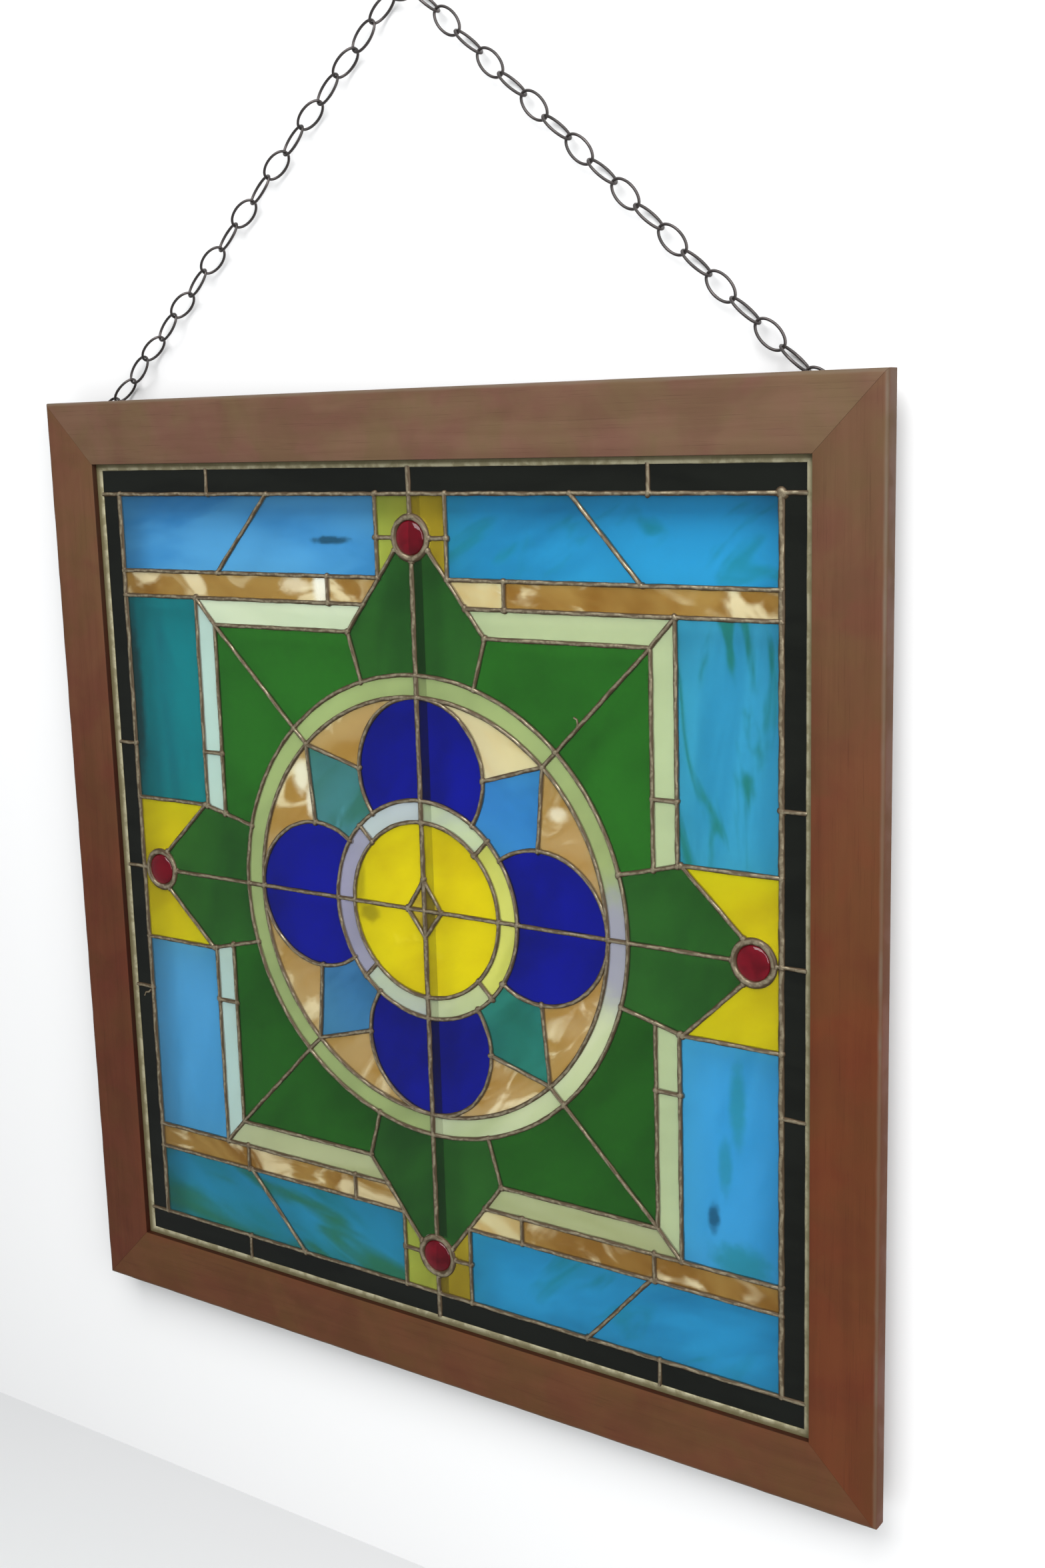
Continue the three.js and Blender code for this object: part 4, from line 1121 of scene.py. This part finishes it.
class WINDOW_OT_frame(Operator):
    """Four mitred rails with rounded outer edges and a groove for the panel"""

    bl_idname = "window.frame"
    bl_label = "Wooden frame"

    def execute(self, context):
        finish = context.scene.window_finish
        shades = {
            # Painted reflection: the top rail takes the sheen colour all along, and the left and right rails turn
            # lighter and greyer towards their tops.
            "top": (finish.wood_top_sheen, finish.wood_top_sheen),
            "bottom": (tint(98, 60, 35), tint(98, 60, 35)),
            "left": (tint(93, 50, 30), tint(104, 72, 50)),
            "right": (finish.wood, tint(98, 70, 50)),
        }
        half_x, half_z = (FRAME_RIGHT - FRAME_LEFT) / 2, (FRAME_TOP - FRAME_LOW) / 2
        for where, (low, high) in shades.items():
            level = where in ("top", "bottom")
            sign = 1 if where in ("top", "right") else -1
            shell = Shell()
            along, across = (half_x, half_z) if level else (half_z, half_x)
            self.rail(shell, along, across, sign, level, context.scene.window_sizes.arris / MM)
            material = wood_material(f"{where}_rail_wood", low, high, not level)
            piece = make_piece(f"rail_{where}", shell, [material], [f"frame_{where}"], smooth=30, lift=CENTRE_Z)
            if level:
                low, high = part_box("reinforcing_bar")
                x0, x1 = low.x / MM - 0.3, high.x / MM + 0.3
                end = high.z / MM + 0.3 if sign > 0 else low.z / MM - 0.3
                edge = end - sign * 30
                cut_away(piece, (x0, PANEL_BACK + 0.29, min(end, edge)), (x1, FRAME_BACK + 1, max(end, edge)))
        return {"FINISHED"}

    def rail(self, shell, along, across, sign, level, arris):
        """One rail: its section swept between the mitres, with a slightly uneven arris."""
        groove_front, groove_back = PANEL_FRONT - 0.3, PANEL_BACK + 0.3
        inner = RAIL_WIDTH - GROOVE_DEPTH
        plain = [
            (0.5, FRAME_BACK), (RAIL_WIDTH - 0.5, FRAME_BACK), (RAIL_WIDTH, FRAME_BACK - 0.5), (RAIL_WIDTH, groove_back),
            (inner, groove_back), (inner, groove_front), (RAIL_WIDTH, groove_front),
            (RAIL_WIDTH, FRAME_FRONT + INNER_ARRIS), (RAIL_WIDTH - 0.4, FRAME_FRONT + 0.35), (RAIL_WIDTH - INNER_ARRIS, FRAME_FRONT),
            (RAIL_WIDTH - 14, FRAME_FRONT), (30, FRAME_FRONT), (arris + 5, FRAME_FRONT),
        ]
        steps, stations = 7, 72
        uneven = wobble(300 + int(along) + sign)
        rings, marks = [], []
        for i in range(stations + 1):
            t = i / stations
            radius = arris * (1 + 0.14 * uneven(2 * along * t))
            # Marks for the wood: -1 on the inner face in front of the groove gives painted shade, and the positive
            # marks along the arris and the back corner give a painted highlight.
            section = [(w, y, -1.0 if w == RAIL_WIDTH and y < PANEL_FRONT else 0.0) for w, y in plain]
            section += [
                (radius - radius * math.sin(a), FRAME_FRONT + radius - radius * math.cos(a), math.sin(2 * a) ** 2)
                for a in (math.pi / 2 * k / steps for k in range(steps + 1))
            ]
            section.append((0, FRAME_BACK - 0.5, 0.25))
            ring = []
            for w, y, mark in section:
                reach = along - w - 0.15
                here = -reach + 2 * reach * t
                out = sign * (across - w)
                ring.append((here, y, out) if level else (out, y, here))
                marks.append(mark)
            rings.append(ring)
        shell.loft(rings, marks=marks)


# ---------- hanging ----------
def chain_line():
    """Where the right-hand strand starts, its direction and its pitch, in XZ."""
    hole = LINK_WIDTH / 2 - WIRE
    flats = EYE_HOLE_R * math.cos(math.pi / EYE_SIDES)
    eye, way, pitch, start = Vector((EYE_X, EYE_Z)), Vector((1, -1)).normalized(), 34.0, Vector((0, 0))
    for _ in range(8):
        t = math.atan2(-way.y * hole, way.x * pitch / 2)
        start = Vector((pitch / 2 * math.cos(t), -hole - hole * math.sin(t)))
        way = (eye - start).normalized()
        pitch = ((eye - start).length - flats) / LINKS
    return start, way, pitch


def wire_loop(shell, path, normal, radius, sides=10, weld=None):
    """A closed loop of round wire along a flat path; `weld` swells one place."""
    count, rings = len(path), []
    for i, point in enumerate(path):
        way = (path[(i + 1) % count] - path[i - 1]).normalized()
        out = way.cross(normal).normalized()
        swell = 1.0 if weld is None else 1 + 0.06 * math.exp(-(((i - weld + count / 2) % count - count / 2) / 0.8) ** 2)
        rings.append([
            tuple(point + (out * math.cos(a) + normal * math.sin(a)) * radius * swell)
            for a in (math.tau * k / sides for k in range(sides))
        ])
    shell.loft(rings, closed=True, marks=[0.5] * (count * sides))


def add_link(shell, length, matrix, seed):
    """One oval link of round wire, long along X before it is placed."""
    a, b, count = length / 2 - WIRE / 2, LINK_WIDTH / 2 - WIRE / 2, 44
    draw = random.Random(seed)
    path = []
    for i in range(count):
        t = math.tau * i / count
        path.append(matrix @ Vector((a * math.cos(t), 0, b * math.sin(t))))
    normal = (matrix.to_3x3() @ Vector((0, 1, 0))).normalized()
    wire_loop(shell, path, normal, WIRE / 2, weld=draw.choice((count // 4, 3 * count // 4)))


class WINDOW_OT_hanging(Operator):
    """Chain strands, the top link and the screw eyes behind the frame"""

    bl_idname = "window.hanging"
    bl_label = "Hanging chain"

    def execute(self, context):
        finish = context.scene.window_finish
        steel = metal_material("chain_metal", scaled(finish.steel, 1.5), scaled(finish.steel, 0.7), 0.85, 0.36, 60.0, False)
        start, way, pitch = chain_line()
        length = pitch + 2 * WIRE
        slope = math.atan2(-way.y, way.x)
        step = (pitch * LINKS + 0.6 - pitch) / (LINKS - 1)
        for side, name, drift in ((-1, "left", 34), (1, "right", 9)):
            shell = Shell()
            for i in range(LINKS):
                roll = math.radians((90 if i % 2 == 0 else 0) + drift * math.sin(math.pi * (i + 1) / LINKS))
                along = pitch / 2 - 0.3 + step * i
                place = Matrix.Translation((start.x + way.x * along, 0, start.y + way.y * along))
                matrix = place @ Matrix.Rotation(slope, 4, "Y") @ Matrix.Rotation(roll, 4, "X")
                if side < 0:
                    matrix = Matrix.Rotation(math.pi, 4, "Z") @ matrix
                add_link(shell, length, matrix, 40 * side + i + 100)
            make_piece(f"strand_{name}", shell, [steel], [f"chain_{name}"], smooth=60)
            self.screw_eye(name, side, way, steel)
        shell = Shell()
        add_link(shell, length, Matrix.Translation((0, 0, -(LINK_WIDTH / 2 - WIRE))), 9)
        make_piece("hanging_link", shell, [steel], ["top_link"], smooth=60)
        return {"FINISHED"}

    def screw_eye(self, name, side, way, steel):
        """A ring in line with the chain's pull, on a threaded shank in the rail."""
        shell = Shell()
        centre = Vector((side * EYE_X, 0, EYE_Z))
        pull, outward = Vector((way.x * side, 0, way.y)), Vector((0, 1, 0))
        reach = EYE_HOLE_R + WIRE / 2
        path = []
        for i in range(36):
            a = math.tau * i / 36
            path.append(centre + (pull * math.cos(a) + outward * math.sin(a)) * reach)
        wire_loop(shell, path, pull.cross(outward).normalized(), WIRE / 2, sides=12)
        rings = []
        first, last = -EYE_HOLE_R - WIRE * 0.5, FRAME_BACK - 12
        for i in range(49):
            y = first + (last - first) * i / 48
            thread = 0.0 if y > FRAME_BACK + 1.5 else 0.22 * math.sin(math.tau * y / 1.3)
            radius = max(0.4, (WIRE / 2 + thread - 0.2) * min(1.0, (y - last + 1.5) / 4))
            rings.append([
                (centre.x + radius * math.cos(a), y, centre.z + radius * math.sin(a))
                for a in (math.tau * k / 14 for k in range(14))
            ])
        shell.loft(rings, marks=[0.5] * (49 * 14))
        make_piece(f"eye_screw_{name}", shell, [steel], [f"screw_eye_{name}"], smooth=50)


class WINDOW_OT_bar(Operator):
    """Flat steel bar that stiffens the panel behind its middle seam"""

    bl_idname = "window.bar"
    bl_label = "Reinforcing bar"

    def execute(self, context):
        finish = context.scene.window_finish
        low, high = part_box("reinforcing_bar")
        low, high = low / MM, high / MM
        soft = 0.7
        shell = Shell()
        rings, marks, stations = [], [], 120
        for i in range(stations + 1):
            z = low.z + (high.z - low.z) * i / stations
            ring = []
            for x, y, sx, sy in ((low.x, low.y, 1, 1), (high.x, low.y, -1, 1), (high.x, high.y, -1, -1), (low.x, high.y, 1, -1)):
                corner = [(x, y + sy * soft), (x + sx * soft * 0.3, y + sy * soft * 0.3), (x + sx * soft, y)]
                if sx * sy < 0:
                    corner.reverse()
                ring += [(px, py, z) for px, py in corner]
                marks += [0.4, 1.0, 0.4]
            rings.append(ring)
        shell.loft(rings, marks=marks)
        steel = metal_material("bar_metal", tint(46, 42, 38), tint(26, 23, 21), 0.3, 0.7, 40.0, False)
        make_piece("stiffening_bar", shell, [steel], ["reinforcing_bar"], smooth=50)
        return {"FINISHED"}


# ---------- stage ----------
def sheet(name, corners, material):
    mesh = bpy.data.meshes.new(name)
    mesh.from_pydata(corners, [], [(0, 1, 2, 3)])
    mesh.materials.append(material)
    piece = bpy.data.objects.new(name, mesh)
    bpy.context.scene.collection.objects.link(piece)
    return piece


class WINDOW_OT_stage(Operator):
    """Pale floor and backdrop, soft light and the camera"""

    bl_idname = "window.stage"
    bl_label = "Floor, light and camera"

    def execute(self, context):
        stage = context.scene.window_stage
        floor, _, _ = matte_material("floor_paper", stage.paper)
        z = stage.floor
        ground = sheet("floor", [(-5, -5, z), (5, -5, z), (5, 5, z), (-5, 5, z)], floor)
        ground.visible_glossy = False
        wall, graph, shader = matte_material("backdrop_paper", stage.paper)
        clear = graph.new("BsdfTransparent")
        facing = graph.new("NewGeometry").outputs["Backfacing"]
        one_sided = graph.new("MixShader", {0: facing, 1: shader.outputs[0], 2: clear.outputs[0]})
        output = next(n for n in graph.tree.nodes if n.type == "OUTPUT_MATERIAL")
        graph.put(output.inputs["Surface"], one_sided.outputs[0])
        y = CAD_BOX[1].y + 0.0015
        backdrop = sheet("backdrop", [(-5, y, z), (5, y, z), (5, y, 3), (-5, y, 3)], wall)
        backdrop.visible_shadow = False
        backdrop.visible_diffuse = False
        world = bpy.data.worlds.new("soft_room")
        context.scene.world = world
        world.use_nodes = True
        background = next(n for n in world.node_tree.nodes if n.type == "BACKGROUND")
        background.inputs[0].default_value = (0.93, 0.97, 1.0, 1)
        background.inputs[1].default_value = stage.sky_light
        self.lamp("high_lamp", (0.5, -2.5, 1.9), (3.2, 2.4), stage.lamp)
        self.lamp("side_lamp", (2.9, -2.0, 0.1), (2.0, 2.6), stage.side_lamp)
        self.camera(context)
        context.scene.view_settings.view_transform = "Standard"
        return {"FINISHED"}

    def lamp(self, name, place, size, power):
        light = bpy.data.lights.new(name, "AREA")
        light.shape, light.size, light.size_y, light.energy = "RECTANGLE", *size, power
        holder = bpy.data.objects.new(name, light)
        holder.location = place
        holder.rotation_euler = (Vector((0, 0, -0.9)) - holder.location).to_track_quat("-Z", "Y").to_euler()
        bpy.context.scene.collection.objects.link(holder)

    def camera(self, context):
        data = bpy.data.cameras.new("view")
        data.sensor_width, data.lens = 36, 41.785
        data.clip_start, data.clip_end = 0.05, 60
        camera = bpy.data.objects.new("view", data)
        right, up = Vector((0.82445, 0.56528, -0.02712)), Vector((-0.0875, 0.17467, 0.98073))
        back = Vector((0.55912, -0.8062, 0.19347))
        turn = Matrix((right, up, back)).transposed().to_4x4()
        camera.matrix_world = Matrix.Translation((1.1918, -1.5465, -0.4426)) @ turn
        context.scene.collection.objects.link(camera)
        context.scene.camera = camera


class WINDOW_PT_panel(Panel):
    """Sizes, colours and steps of the window"""

    bl_idname = "WINDOW_PT_panel"
    bl_label = "Stained glass window"
    bl_space_type = "VIEW_3D"
    bl_region_type = "UI"
    bl_category = "Window panel"

    def draw(self, context):
        for title, group in GROUPS.items():
            box = self.layout.box()
            box.label(text=title)
            settings = getattr(context.scene, group[0])
            for name in group[1].__annotations__:
                box.prop(settings, name)
        for step in STEPS:
            self.layout.operator(step.bl_idname)


GROUPS = {
    "Sizes": ("window_sizes", WINDOW_PG_sizes),
    "Glass": ("window_glass", WINDOW_PG_glass),
    "Wood and metal": ("window_finish", WINDOW_PG_finish),
    "Stage": ("window_stage", WINDOW_PG_stage),
}
STEPS = (
    WINDOW_OT_stage,
    WINDOW_OT_frame,
    WINDOW_OT_border,
    WINDOW_OT_blue,
    WINDOW_OT_square,
    WINDOW_OT_star,
    WINDOW_OT_flower,
    WINDOW_OT_jewels,
    WINDOW_OT_solder,
    WINDOW_OT_bar,
    WINDOW_OT_hanging,
)


def register():
    for name, group in GROUPS.values():
        bpy.utils.register_class(group)
        setattr(bpy.types.Scene, name, PointerProperty(type=group))
    for step in STEPS:
        bpy.utils.register_class(step)
    bpy.utils.register_class(WINDOW_PT_panel)


def unregister():
    bpy.utils.unregister_class(WINDOW_PT_panel)
    for step in reversed(STEPS):
        bpy.utils.unregister_class(step)
    for name, group in GROUPS.values():
        delattr(bpy.types.Scene, name)
        bpy.utils.unregister_class(group)


def main():
    register()
    for step in STEPS:
        module, name = step.bl_idname.split(".")
        getattr(getattr(bpy.ops, module), name)()


if __name__ == "__main__":
    main()
